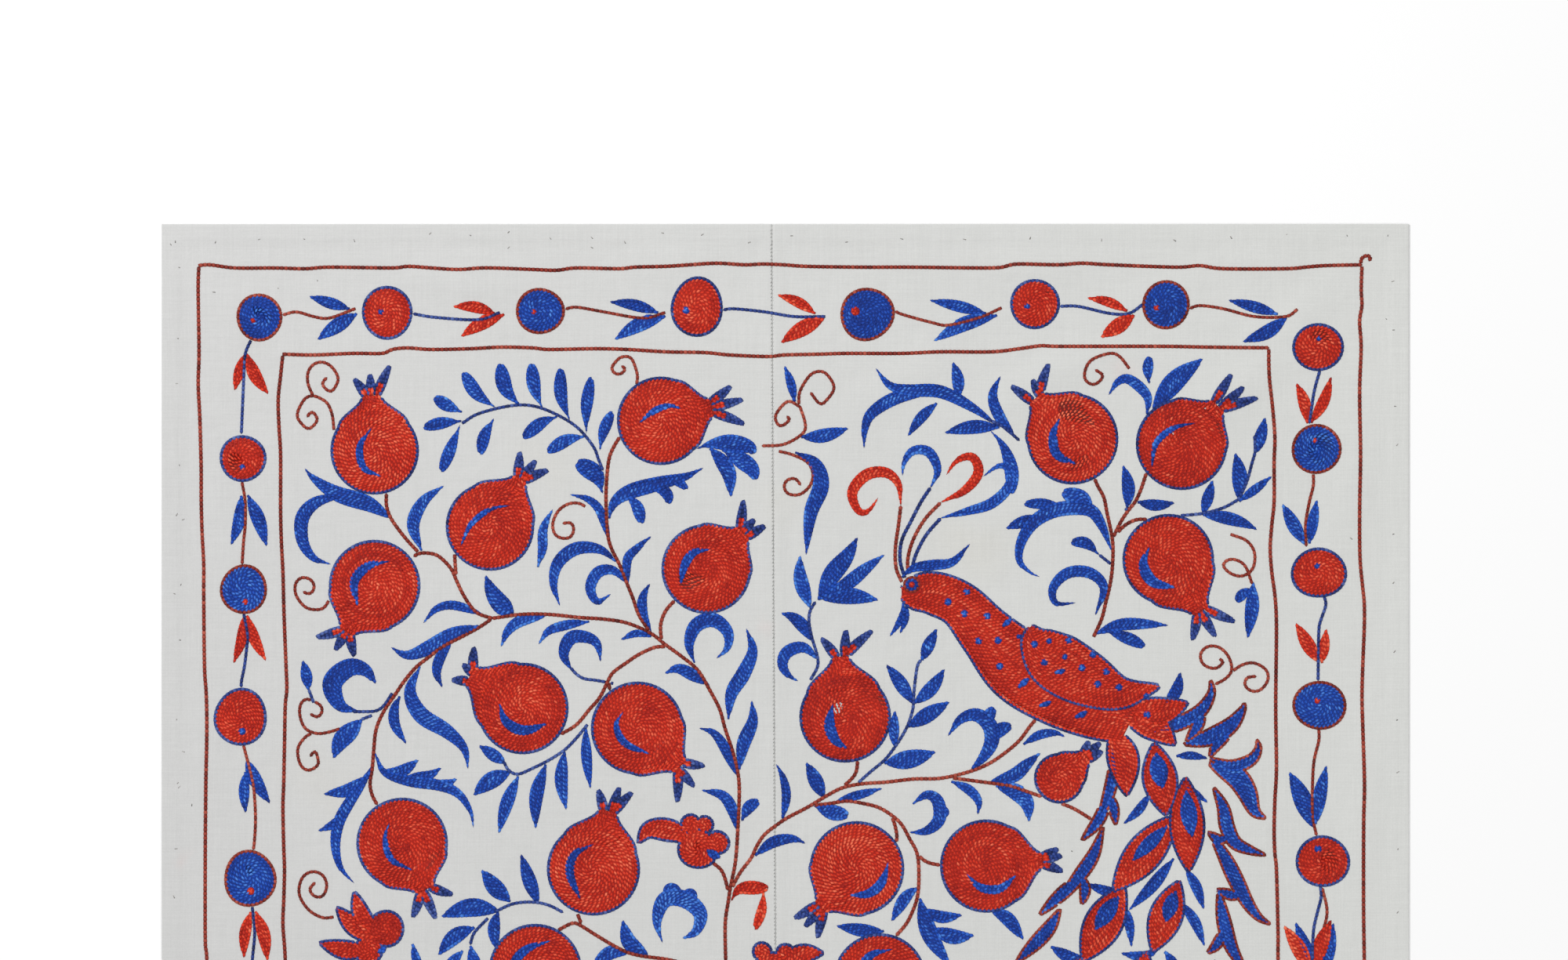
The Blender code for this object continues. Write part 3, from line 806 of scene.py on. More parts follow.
# Blue tail feathers, each with its edge picked out in dark red
TAIL_BARBS = (
    Leaf(13, ((1418, 950), (1420, 980), (1415, 1010), (1402, 1048)), 0.5, 0.3),
    Leaf(13, ((1414, 1012), (1402, 1045), (1380, 1072)), 0.45),
    Leaf(11, ((1414, 1012), (1420, 1030), (1423, 1052)), 0.45),
    Leaf(15, ((1407, 1055), (1395, 1090), (1375, 1120), (1350, 1152)), 0.5, 0.3),
    Leaf(13, ((1376, 1118), (1352, 1142), (1326, 1167)), 0.45),
    Leaf(11, ((1380, 1118), (1384, 1135), (1380, 1154)), 0.45),
    Leaf(16, ((1352, 1160), (1335, 1188), (1296, 1228)), 0.45),
    Leaf(16, ((1466, 936), (1500, 925), (1530, 908), (1545, 885), (1544, 868))),
    Leaf(12, ((1534, 902), (1528, 925), (1513, 946))),
    Leaf(20, ((1510, 950), (1545, 940), (1570, 925), (1585, 905), (1587, 897))),
    Leaf(12, ((1572, 930), (1552, 950), (1543, 966))),
    Leaf(14, ((1543, 968), (1570, 978), (1595, 970), (1605, 955), (1603, 944))),
    Leaf(25, ((1542, 974), (1575, 990), (1590, 1010), (1600, 1035), (1614, 1044)), 0.4),
    Leaf(16, ((1548, 1005), (1560, 1030), (1565, 1055), (1575, 1075), (1595, 1085), (1614, 1091))),
    Leaf(10, ((1566, 1066), (1556, 1072), (1541, 1062))),
    Leaf(17, ((1543, 1063), (1560, 1090), (1575, 1120), (1590, 1150), (1605, 1170), (1620, 1179))),
    Leaf(11, ((1584, 1143), (1570, 1142), (1552, 1135))),
    Leaf(16, ((1554, 1136), (1562, 1180), (1572, 1212), (1590, 1240))),
    Leaf(11, ((1562, 1185), (1552, 1205), (1540, 1216))),
)
# Eyed feathers: a navy edge, a red field and a blue drop, with blue side leaves
Eye = namedtuple("Eye", "base tip half drop_tip drop_half")
TAIL_EYES = (
    Eye((1472, 948), (1487, 1040), 21, (1482, 1006), 12),
    Eye((1512, 992), (1516, 1112), 21, (1520, 1068), 11),
    Eye((1500, 1040), (1420, 1136), 22, (1444, 1098), 9),
    Eye((1434, 1130), (1381, 1226), 23, (1396, 1186), 11),
    Eye((1504, 1124), (1470, 1214), 20, (1486, 1176), 10),
    Eye((1378, 1222), (1332, 1322), 22, (1350, 1278), 10),
    Eye((1462, 1214), (1440, 1318), 21, (1446, 1272), 10),
    Eye((1548, 1226), (1556, 1330), 20, (1556, 1284), 10),
)
TAIL_LEAVES = (
    Leaf(11, ((1500, 965), (1520, 964), (1540, 968))),
    Leaf(11, ((1505, 995), (1540, 1024))),
    Leaf(12, ((1467, 1012), (1452, 1034), (1433, 1051))),
    Leaf(16, ((1497, 1095), (1470, 1130), (1440, 1161))),
    Leaf(14, ((1512, 1108), (1526, 1132), (1535, 1160))),
    Leaf(13, ((1430, 1138), (1408, 1136), (1386, 1127))),
    Leaf(13, ((1430, 1150), (1440, 1178), (1443, 1208))),
    Leaf(14, ((1505, 1150), (1524, 1176), (1536, 1207))),
    Leaf(13, ((1478, 1212), (1455, 1220), (1430, 1216))),
    Leaf(13, ((1485, 1214), (1497, 1230), (1502, 1252))),
    Leaf(16, ((1340, 1208), (1366, 1222), (1392, 1226))),
    Leaf(13, ((1352, 1316), (1380, 1300), (1398, 1272))),
    Leaf(13, ((1322, 1312), (1306, 1288), (1300, 1260))),
    Leaf(14, ((1450, 1312), (1484, 1304), (1504, 1280))),
    Leaf(14, ((1540, 1316), (1520, 1300), (1512, 1276))),
    Leaf(14, ((1566, 1318), (1588, 1300), (1598, 1276))),
)

# The field below the photograph: boxes of the upper field that are worked again, each with the way it is
# turned across and down, where it is set, and the phase of its bend
UPPER_LEFT = (366, 452, 962, 1226)
UPPER_LEFT_HIGH = (366, 452, 962, 880)
UPPER_RIGHT_HIGH = (1000, 452, 1626, 830)
REPEATS = (
    (UPPER_RIGHT_HIGH, (-1, 1, 1990, 836, 0.4)),
    (UPPER_LEFT_HIGH, (-1, 1, 1990, 890, 2.1)),
    (UPPER_LEFT, (1, -1, 2, 2952, 1.2)),
    (UPPER_LEFT, (-1, -1, 1994, 2950, 3.0)),
)
TRUNK_BELOW = (
    ((926, 1240), (932, 1290), (950, 1360), (985, 1440), (1002, 1530), (996, 1610), (975, 1670), (945, 1710),
     (928, 1735)),
    ((1000, 1570), (1010, 1620), (1040, 1680), (1068, 1730)),
    ((940, 1320), (900, 1345), (840, 1355), (790, 1345)),
    ((985, 1440), (950, 1480), (900, 1500), (850, 1500)),
    ((1002, 1530), (1040, 1500), (1080, 1490), (1110, 1470)),
)
FRUITS_BELOW = (
    Fruit(996, 2380, 54, (996, 2310), 11, ((972, 2284), (996, 2276), (1020, 2284)),
          ((1020, 2352), (996, 2346), (970, 2360), (962, 2388)), 10),
    Fruit(996, 2130, 50, (996, 2064), 11, ((974, 2040), (996, 2032), (1018, 2040)),
          ((972, 2104), (996, 2096), (1020, 2108), (1030, 2134)), 9),
    Fruit(480, 1318, 52, (540, 1292), 10, ((566, 1270), (574, 1288), (572, 1308)),
          ((462, 1290), (448, 1312), (456, 1340), (482, 1350)), 10),
)
LEAVES_BELOW = (
    Leaf(18, ((996, 2438), (980, 2462), (950, 2478))),
    Leaf(18, ((996, 2438), (1012, 2462), (1042, 2478))),
    Leaf(18, ((996, 2186), (976, 2212), (944, 2224))),
    Leaf(18, ((996, 2186), (1016, 2212), (1048, 2224))),
    Leaf(20, ((996, 1700), (996, 1750), (992, 1800))),
    Leaf(18, ((986, 1810), (960, 1840), (950, 1880))),
    Leaf(18, ((1006, 1810), (1032, 1840), (1044, 1880))),
)

# Shapes. A shape holds its rows of stitches as (path, widths), its edge line, the points that cover it,
# and the stations and half widths of its padding.
Shape = namedtuple("Shape", "rows edge area padding")

# One laid stitch is a row of ten values: start x and y, end x and y, width, rise, seat, tone, the length of
# its row up to it, and its slant across the row


class Ground:
    """Which parts of the cloth are covered: a fine grid that is filled as shapes are laid."""

    def __init__(self):
        self.shape = (int(CLOTH_WIDTH / CELL) + 3, int(CLOTH_LENGTH / CELL) + 3)
        self.taken = np.zeros(self.shape, bool)

    def cells(self, points):
        """Grid cells that the points fall in, kept inside the grid."""
        i = ((points[:, 0] + CLOTH_WIDTH / 2) / CELL).astype(int)
        j = ((points[:, 1] + HALF_LENGTH) / CELL).astype(int)
        return np.clip(i, 0, self.shape[0] - 2), np.clip(j, 0, self.shape[1] - 2)

    def free(self, points):
        """True where nothing covers the cloth yet."""
        return ~self.taken[self.cells(points)]

    def cover(self, points):
        """Mark the cells that the points fall in."""
        self.taken[self.cells(points)] = True


def running_length(path):
    """Distance along the path at each of its points."""
    steps = np.hypot(*np.diff(path, axis=0).T)
    return np.concatenate(([0.0], np.cumsum(steps)))


def resample(path, step, *others):
    """The path at equal steps, with other values along it carried over."""
    run = running_length(path)
    count = max(3, int(run[-1] / step) + 1)
    at = np.linspace(0, run[-1], count)
    even = np.column_stack([np.interp(at, run, path[:, k]) for k in (0, 1)])
    return (even, *[np.interp(at, run, values) for values in others]) if others else even


def smooth_path(points, *others):
    """A smooth curve through the points (Catmull-Rom), and other values carried along it as smoothly."""
    stacked = np.column_stack((points, *others)) if others else np.asarray(points, float)
    first = 2 * stacked[0] - stacked[1]
    last = 2 * stacked[-1] - stacked[-2]
    padded = np.vstack((first, stacked, last))
    a, b, c, d = (padded[k:len(padded) - 3 + k, None, :] for k in range(4))
    t = np.linspace(0, 1, CURVE_STEPS, endpoint=False)[None, :, None]
    curve = 0.5 * (2 * b + (c - a) * t + (2 * a - 5 * b + 4 * c - d) * t ** 2
                   + (3 * b - a - 3 * c + d) * t ** 3)
    curve = np.vstack((curve.reshape(-1, stacked.shape[1]), stacked[-1]))
    if others:
        return resample(curve[:, :2], SAMPLE_STEP, *curve[:, 2:].T)
    return resample(curve, SAMPLE_STEP)


def normals(path):
    """Unit vectors to the left of the way the path runs."""
    way = np.gradient(path, axis=0)
    way /= np.maximum(np.hypot(*way.T), 1e-9)[:, None]
    return np.column_stack((-way[:, 1], way[:, 0]))


def leaf_halves(run, width, belly, blunt):
    """Half width along a leaf: sin(pi/2 * rise) to a power, where rise climbs from 0 at the stem to 1 at
    the belly and falls to 0 at the tip. A blunt leaf has a lower power on the tip side, so that it ends
    round, and a higher one at the stem, so that it starts thin."""
    t = run / run[-1]
    rise = np.where(t < belly, t / belly, (1 - t) / (1 - belly))
    power = LEAF_POWER * np.where(t < belly, 1 + 0.8 * blunt, 1 - 0.65 * blunt)
    return width / 2 * np.sin(np.pi / 2 * np.clip(rise, 0, 1)) ** power


def stroke(path, halves):
    """A shape along a spine. Its rows follow its edges from the outside in, a row's width apart, and end
    where the two sides meet; the outermost row of one side runs on to both tips."""
    side = normals(path)
    count = max(1, round(2 * halves.max() / ROW_PITCH))
    pitch = 2 * halves.max() / count
    rows = []
    for k in range((count + 1) // 2):
        for hand in (1, -1):
            offset = halves - (k + 0.5) * pitch
            kept = offset > (-0.12 if hand == 1 else 0.34) * pitch
            if k == 0 and hand == 1:
                kept = halves > 0.12 * pitch
            widths = np.where(kept, np.minimum(pitch, 2 * halves), 0.0)
            row = path + side * (hand * np.maximum(offset, 0.0))[:, None]
            rows.append((row, widths, 1 - k / max(1, count // 2)))
    reach = (halves + OUTLINE_OUT)[:, None] * side
    tip = path[-1] + (path[-1] - path[-2]) / SAMPLE_STEP * OUTLINE_OUT
    edge = np.vstack((path + reach, tip[None], (path - reach)[::-1], (path + reach)[:1]))
    across = np.linspace(-1, 1, 2 + int(2 * halves.max() / (CELL * 0.7)))
    inset = np.maximum(halves - COVER_INSET, halves * 0.3)
    area = path[:, None, :] + side[:, None, :] * (inset[:, None] * across[None, :])[:, :, None]
    return Shape(rows, edge, area.reshape(-1, 2), ("spine", path, side, halves))


def portion(shape, first, last):
    """Part of a stroke's rows and padding, from one share of its length to another."""
    kind, path, side, halves = shape.padding
    cut = slice(int(len(path) * first), max(int(len(path) * first) + 4, int(len(path) * last)))
    rows = [(row[cut], widths[cut], share) for row, widths, share in shape.rows]
    return shape._replace(rows=rows, padding=(kind, path[cut], side[cut], halves[cut]))


def leaf(piece, bend=0.0):
    """A leaf's shape from its table row. One given by two points takes the bend, a share of its length."""
    points = place(piece.path)
    if len(points) == 2:
        way = points[1] - points[0]
        middle = points.mean(axis=0) + bend * np.array((-way[1], way[0]))
        points = np.vstack((points[0], middle, points[1]))
    path = smooth_path(points)
    return stroke(path, leaf_halves(running_length(path), piece.width * PIXEL, piece.belly, piece.blunt))


def band_shape(piece):
    """A stroke whose half width is given at each point of its spine, with rounded ends."""
    path, halves = smooth_path(place(piece.path), np.array(piece.halves) * PIXEL)
    return stroke(path, np.maximum(halves, 0.0005))


def round_reach(angle, across, up, wobble):
    """Distance from the middle to the edge: an ellipse, times 1 plus two small seeded waves."""
    ellipse = across * up / np.sqrt((up * np.cos(angle)) ** 2 + (across * np.sin(angle)) ** 2)
    wave = wobble[0] * np.cos(2 * angle + wobble[2]) + wobble[1] * np.cos(3 * angle + wobble[3])
    return ellipse * (1 + wave)


def disc(x, y, across, up=None, steadiness=1.0):
    """A round shape filled with rings of stitches, one inside the other."""
    middle = place(((x, y),))[0]
    across, up = across * PIXEL, (up or across) * PIXEL
    wobble = np.concatenate((rng.uniform(-0.025, 0.025, 2) * steadiness, rng.uniform(0, 2 * np.pi, 2)))
    rings = max(1, round(min(across, up) / ROW_PITCH))
    rows = []

    def ring(share, turn, extra=0.0):
        count = max(14, int(2 * np.pi * share * max(across, up) / SAMPLE_STEP))
        angle = turn + np.linspace(0, 2 * np.pi, count)
        out = round_reach(angle, across, up, wobble) * share + extra
        return middle + np.column_stack((np.cos(angle), np.sin(angle))) * out[:, None]

    for k in range(rings):
        path = ring((k + 0.5) / rings, rng.uniform(0, 2 * np.pi))
        rows.append((path, np.full(len(path), min(across, up) / rings), (k + 0.5) / rings))
    edge = ring(1.0, 0.3, OUTLINE_OUT)
    most = 1 - COVER_INSET / min(across, up)
    area = np.vstack([ring(share, 0.0) for share in np.arange(0.02, most, CELL * 0.7 / max(across, up))])
    return Shape(rows, edge, area, ("rings", middle, across, up, wobble))


class Silk:
    """One colour of silk, with all the stitches and padding worked in it."""

    def __init__(self, name):
        self.name = name
        self.stitches = []
        self.padding = []

    def row(self, path, widths, rise, seat, tone, slant=0.0):
        """Work a row: it is cut where the cloth is covered, and each run is split into equal stitches."""
        free = ground.free(path) & (widths > 0)
        breaks = np.flatnonzero(np.diff(np.concatenate(([0], free.astype(int), [0]))))
        for first, past in zip(breaks[::2], breaks[1::2]):
            if past - first < 3:
                continue
            run = running_length(path[first:past])
            count = max(1, round(run[-1] / STITCH_LENGTH))
            at = np.linspace(0, run[-1], count + 1)
            xs = np.interp(at, run, path[first:past, 0])
            ys = np.interp(at, run, path[first:past, 1])
            wide = np.interp((at[1:] + at[:-1]) / 2, run, widths[first:past])
            tones = tone + rng.normal(0, STITCH_TONE, count)
            self.stitches.append(np.column_stack((
                xs[:-1], ys[:-1], xs[1:], ys[1:], wide, np.full(count, rise), np.full(count, seat), tones,
                at[:-1], np.full(count, slant))))

    def fill(self, shape, lift=0.0, covers=True):
        """Lay a filled shape: its padding, its rows, then mark the cloth under it as covered. The row at
        its edge runs straight and the others slant. An inlay takes a lift, so that it lies over the
        padding around it."""
        mood = rng.normal(0, SHAPE_TONE)
        for path, widths, share in shape.rows:
            tone = mood - EDGE_TONE * max(0.0, share - 0.6) / 0.4 + rng.normal(0, ROW_TONE)
            slant = STITCH_SLANT if share < 1.0 else 0.0
            self.row(path, widths, FILL_RISE, PADDING_SEAT + lift, tone, slant)
        self.padding.append((lift, *shape.padding))
        if covers:
            ground.cover(shape.area)

    def draw(self, path, width=None, tone=0.0):
        """Lay a line of single stitches along a path."""
        width = width or LINE_WIDTH
        self.row(path, np.full(len(path), width), LINE_RISE, 0.0, tone + rng.normal(0, ROW_TONE))

    def cover(self, path, width=None):
        """Mark the cloth under a line as covered."""
        width = width or LINE_WIDTH
        side = normals(path)
        for share in np.linspace(-0.42, 0.42, 9):
            ground.cover(path + side * share * width)

    def outline(self, shapes, width=OUTLINE_WIDTH):
        """Work the edge line of each shape in turn, where no other shape or line lies."""
        for shape in shapes:
            edge = resample(shape.edge, SAMPLE_STEP)
            self.draw(edge, width)
            self.cover(edge, width)

    def lines(self, paths, width=None):
        """Work single lines along the given photo pixels."""
        for points in paths:
            path = smooth_path(place(points))
            self.draw(path, width)
            self.cover(path, width)


# Meshes

# One chain stitch seen from above, as (along, across, height): it starts thin under the last loop, swells
# into two strands with a groove between them, and closes over the start of the next. Those inside a fill
# slant across their row. Those of a line or an edge row are fuller and overlap more, so that it stays whole.
Loop = namedtuple("Loop", "points top under")
FILL_LOOP = Loop(
    np.array(((0.00, 0.00, 0.25), (0.60, -0.50, 0.00), (0.66, -0.24, 1.00), (0.52, 0.00, 0.62),
              (0.66, 0.24, 1.00), (0.60, 0.50, 0.00), (1.10, 0.00, 0.15))),
    np.array(((0, 1, 2), (0, 2, 3), (0, 3, 4), (0, 4, 5), (1, 6, 2), (2, 6, 3), (3, 6, 4), (4, 6, 5))),
    np.array(((0, 5, 6), (0, 6, 1))))
LINE_LOOP = Loop(
    np.array(((-0.14, -0.38, 0.10), (-0.14, 0.38, 0.10), (0.70, -0.50, 0.00), (0.62, -0.25, 1.00),
              (0.48, 0.00, 0.72), (0.62, 0.25, 1.00), (0.70, 0.50, 0.00), (1.16, 0.00, 0.30))),
    np.array(((0, 2, 3), (0, 3, 4), (0, 4, 1), (1, 4, 5), (1, 5, 6), (2, 7, 3), (3, 7, 4), (4, 7, 5),
              (5, 7, 6))),
    np.array(((0, 1, 6), (0, 6, 7), (0, 7, 2))))


def new_mesh(name, points, faces, material, smooth=True):
    """A mesh object at the origin, from arrays of points and equal sized faces."""
    mesh = bpy.data.meshes.new(name)
    size = faces.shape[1]
    mesh.vertices.add(len(points))
    mesh.vertices.foreach_set("co", points.astype(np.float32).ravel())
    mesh.loops.add(faces.size)
    mesh.loops.foreach_set("vertex_index", faces.astype(np.int32).ravel())
    mesh.polygons.add(len(faces))
    mesh.polygons.foreach_set("loop_start", np.arange(0, faces.size, size, dtype=np.int32))
    mesh.polygons.foreach_set("use_smooth", np.full(len(faces), smooth))
    mesh.update(calc_edges=True)
    mesh.validate()
    mesh.materials.append(material)
    piece = bpy.data.objects.new(name, mesh)
    bpy.context.scene.collection.objects.link(piece)
    return piece


def bake_map(piece, under):
    """A map from above: x and y scaled to the piece's own extent, and faces from below set beside it."""
    mesh = piece.data
    corners = np.empty(len(mesh.loops), np.int32)
    mesh.loops.foreach_get("vertex_index", corners)
    points = np.empty(len(mesh.vertices) * 3, np.float32)
    mesh.vertices.foreach_get("co", points)
    flat = points.reshape(-1, 3)[corners, :2]
    low, high = flat.min(axis=0), flat.max(axis=0)
    size = max((high - low) * (1.0 / MAP_TOP_SHARE, 1.0))
    spots = (flat - low) / size
    spots[under, 0] = MAP_TOP_SHARE + spots[under, 0] * (1 - MAP_TOP_SHARE) / MAP_TOP_SHARE
    layer = mesh.uv_layers.new(name="OFBake")
    layer.data.foreach_set("uv", (spots * 0.996 + 0.002).astype(np.float32).ravel())


def stitch_points(stitches, loop):
    """The template's points for every stitch: stretched to its length and width, turned to its way and
    slanted, and set on the cloth. A point is start + way * along + across * aside."""
    start, end = stitches[:, 0:2], stitches[:, 2:4]
    way = end - start
    length = np.maximum(np.hypot(*way.T), 1e-6)
    way /= length[:, None]
    across = np.column_stack((-way[:, 1], way[:, 0]))
    wide = stitches[:, 4] * STITCH_OVERLAP
    along = loop.points[None, :, 0] * length[:, None]
    aside = loop.points[None, :, 1] * wide[:, None]
    aside = aside + stitches[:, 9:10] * (loop.points[None, :, 0] - 0.55) * wide[:, None]
    flat = (start[:, None, :] + way[:, None, :] * along[:, :, None]
            + across[:, None, :] * aside[:, :, None]).reshape(-1, 2)
    rise = (loop.points[None, :, 2] * stitches[:, 5:6]).ravel()
    seat = np.repeat(stitches[:, 6], len(loop.points)) - np.where(rise > 0, 0.0, STITCH_SUNK)
    height = cloth_top(flat[:, 0], flat[:, 1]) + seat + rise
    thread = np.column_stack(((stitches[:, 8:9] + along).ravel(), aside.ravel()))
    return np.column_stack((flat, height)), thread


def stitch_piece(name, stitches, material):
    """Stitches as one mesh. Those that slant are inside a fill, the others of an edge row or a line."""
    of_fill = stitches[:, 9] > 0
    points, threads, faces, under, tones = [], [], [], [], []
    total = 0
    for loop, chosen in ((FILL_LOOP, stitches[of_fill]), (LINE_LOOP, stitches[~of_fill])):
        if not len(chosen):
            continue
        spots, thread = stitch_points(chosen, loop)
        tris = np.vstack((loop.top, loop.under))
        step = np.arange(len(chosen))[:, None, None] * len(loop.points) + total
        points.append(spots)
        faces.append((tris[None, :, :] + step).reshape(-1, 3))
        threads.append(thread)
        tones.append(np.repeat(chosen[:, 7], len(loop.points)))
        under.append(np.tile(np.arange(len(tris)) >= len(loop.top), len(chosen)))
        total += len(spots)
    faces = np.vstack(faces)
    piece = new_mesh(name, np.vstack(points), faces, material)
    tone = piece.data.attributes.new("tone", "FLOAT", "POINT")
    tone.data.foreach_set("value", np.concatenate(tones).astype(np.float32))
    layer = piece.data.uv_layers.new(name="thread")
    layer.data.foreach_set("uv", np.vstack(threads)[faces.ravel()].astype(np.float32).ravel())
    bake_map(piece, np.repeat(np.concatenate(under), 3))
    return piece


def spine_bed(path, side, halves):
    """Padding along a stroke, station by station: a low arch of five points from its left to its right."""
    count = 5 + int(running_length(path)[-1] / PADDING_STEP)
    pick = np.linspace(0, len(path) - 1, count).astype(int)
    inset = np.maximum(halves[pick] - PADDING_INSET, 0.0002)
    across = np.array((1.0, 0.8, 0.0, -0.8, -1.0))
    flat = path[pick][:, None, :] + side[pick][:, None, :] * (inset[:, None] * across)[:, :, None]
    arch = np.array((0.0, 0.75, 1.0, 0.75, 0.0))
    return flat, np.minimum(PADDING_RISE, inset * 0.3)[:, None] * arch


def ring_bed(middle, across, up, wobble):
    """Padding under a round shape: rings of points that climb from the rim to a low dome."""
    angle = np.linspace(0, 2 * np.pi, PADDING_TURNS, endpoint=False)
    out = round_reach(angle, across, up, wobble) - PADDING_INSET
    shares = np.array((1.0, 0.95, 0.5, 0.05))
    way = np.column_stack((np.cos(angle), np.sin(angle)))
    flat = middle + way[None, :, :] * (shares[:, None] * out[None, :])[:, :, None]
    return flat, np.array((0.0, 0.8, 1.0, 1.0))[:, None] * np.full(len(angle), PADDING_RISE)


def shell_faces(rings, points):
    """Triangles over a stack of closed rings, with a fan over each end, and how many quads they hold."""
    index = np.arange(rings * points).reshape(rings, points)
    a = np.hstack((index[:-1], index[:-1, :1]))
    b = np.hstack((index[1:], index[1:, :1]))
    quads = np.stack((a[:, :-1], a[:, 1:], b[:, 1:], b[:, :-1]), axis=-1).reshape(-1, 4)
    first, last = index[0], index[-1]
    start = np.column_stack((np.full(points - 2, first[0]), first[2:], first[1:-1]))
    end = np.column_stack((np.full(points - 2, last[0]), last[1:-1], last[2:]))
    return np.vstack((quads[:, (0, 1, 2)], quads[:, (0, 2, 3)], start, end)), len(quads)


def padding_piece(name, beds, material):
    """Every padding of one silk as one mesh of closed shells."""
    points, faces, under = [], [], []
    total = 0
    for lift, kind, *values in beds:
        flat, rise = spine_bed(*values) if kind == "spine" else ring_bed(*values)
        rings, count = flat.shape[:2]
        tris, quads = shell_faces(rings, count)
        height = cloth_top(flat[..., 0], flat[..., 1]) + np.where(rise > 0, rise + lift, -STITCH_SUNK)
        points.append(np.dstack((flat, height)).reshape(-1, 3))
        faces.append(tris + total)
        total += rings * count
        low = np.zeros(len(tris), bool)
        if kind == "spine":
            low[:2 * quads] = np.tile(np.arange(count) == count - 1, 2 * (rings - 1))
        else:
            low[2 * quads:2 * quads + count - 2] = True
        under.append(low)
    piece = new_mesh(name, np.vstack(points), np.vstack(faces), material)
    # Painted shade: the padding is coloured dark, as the shade in the gaps between stitches.
    tone = piece.data.attributes.new("tone", "FLOAT", "POINT")
    tone.data.foreach_set("value", np.full(total, PADDING_SHADE_TONE, np.float32))
    bake_map(piece, np.repeat(np.concatenate(under), 3))
    return piece

# Motifs


def fruit_profile(d, r, waist, waist_half):
    """Half width of a fruit at a distance d along its axis from its middle: the circle, and from its
    shoulder a neck that falls to the waist as half a cosine wave."""
    circle = np.sqrt(np.maximum(r * r - d * d, 0.0))
    start = NECK_START * r
    t = np.clip((d - start) / (waist - start), 0.0, 1.0)
    neck = waist_half + (NECK_HALF * r - waist_half) * (0.5 + 0.5 * np.cos(np.pi * t))
    return np.where(d < start, circle, np.maximum(circle, neck))


def fruit_edge(fruit, way, waist_reach):
    """The edge line of a fruit: from the crown down one side, round its foot and up the other side."""
    middle = place(((fruit.x, fruit.y),))[0]
    r = fruit.r * PIXEL
    angle = np.linspace(0, np.pi, 240)
    d = (waist_reach - CROWN_ROOT * PIXEL / 2 + r) / 2 * (1 + np.cos(angle)) - r
    halves = fruit_profile(d, r, waist_reach, fruit.waist_half * PIXEL) + OUTLINE_OUT
    side = np.array((-way[1], way[0]))
    one = middle + d[:, None] * way + halves[:, None] * side
    other = middle + d[:, None] * way - halves[:, None] * side
    return resample(np.vstack((one, other[::-1])), SAMPLE_STEP)


def crown_point(waist, way, tip, waist_half):
    """A slender point of the crown: it starts below the waist, on the side that its tip leans to, runs up
    along the fruit's way and bends out to the tip."""
    side = np.array((-way[1], way[0]))
    lean = np.clip((tip - waist) @ side / waist_half, -1, 1) * (waist_half - CROWN_WIDTH / 2)
    foot = waist + side * lean
    path = (foot - way * CROWN_ROOT, foot, (foot * 1.1 + tip * 0.9) / 2 + way * 1.5, tip)
    return leaf(Leaf(CROWN_WIDTH, path, 0.4))


def pomegranate(fruit):
    """A round fruit with a neck that draws in to a waist, edged in navy, and three crown points that fan
    out from the whole width of the waist."""
    if fruit.crescent:
        blue.fill(leaf(Leaf(fruit.crescent_width + 1, fruit.crescent, 0.5, 0.3)), INLAY_LIFT)
    middle = np.array((fruit.x, fruit.y), float)
    waist = np.array(fruit.waist, float)
    far = np.hypot(*(waist - middle))
    way = (waist - middle) / far
    body = disc(fruit.x, fruit.y, fruit.r, steadiness=0.0)
    d = np.linspace(NECK_START * fruit.r, far, 8)
    halves = fruit_profile(d, fruit.r, far, fruit.waist_half)
    neck = band_shape(Band(middle + way * d[:, None], halves))
    crown = [crown_point(waist, way, np.array(tip, float), fruit.waist_half) for tip in fruit.tips]
    for shape in (body, neck):
        red.fill(shape)
    for shape in crown:
        red.fill(portion(shape, 0.0, CROWN_RED), covers=False)
        navy.fill(portion(shape, CROWN_RED, 1.0))
    edge = fruit_edge(fruit, way * (1, -1), far * PIXEL)
    navy.draw(edge, OUTLINE_WIDTH)
    navy.cover(edge, OUTLINE_WIDTH)
    navy.outline(crown)


def rosette(flower):
    """A round flower with a small dot of the other silk, and an edge of a darker line."""
    fill, dot, edge = (red, blue, navy) if flower.fill == "red" else (blue, red, madder)
    dot.fill(disc(flower.dot_x, flower.dot_y, flower.dot), INLAY_LIFT)
    body = disc(flower.x, flower.y, flower.across, flower.up)
    fill.fill(body)
    edge.outline([body])


def leaves(silk, pieces, edge=None, lift=0.0):
    """Fill the leaves of one spray. With an edge silk each is outlined as well."""
    shapes = [leaf(piece, rng.uniform(-LEAF_BEND, LEAF_BEND)) for piece in pieces]
    for shape in shapes:
        silk.fill(shape, lift)
    if edge:
        edge.outline(shapes, FINE_WIDTH)


def spots(silk, pieces, lift=0.0):
    """Fill small round spots."""
    for piece in pieces:
        silk.fill(disc(piece.x, piece.y, piece.r), lift)


def red_flower(flower):
    """A small lobed flower with curling horns and a blue inlay, edged in navy."""
    blue.fill(leaf(Leaf(flower.inlay_width, flower.inlay, 0.5, 0.5)), INLAY_LIFT)
    shapes = [disc(lobe.x, lobe.y, lobe.r) for lobe in flower.lobes]
    shapes += [leaf(horn) for horn in flower.horns]
    for shape in shapes:
        red.fill(shape)
    navy.outline(shapes)


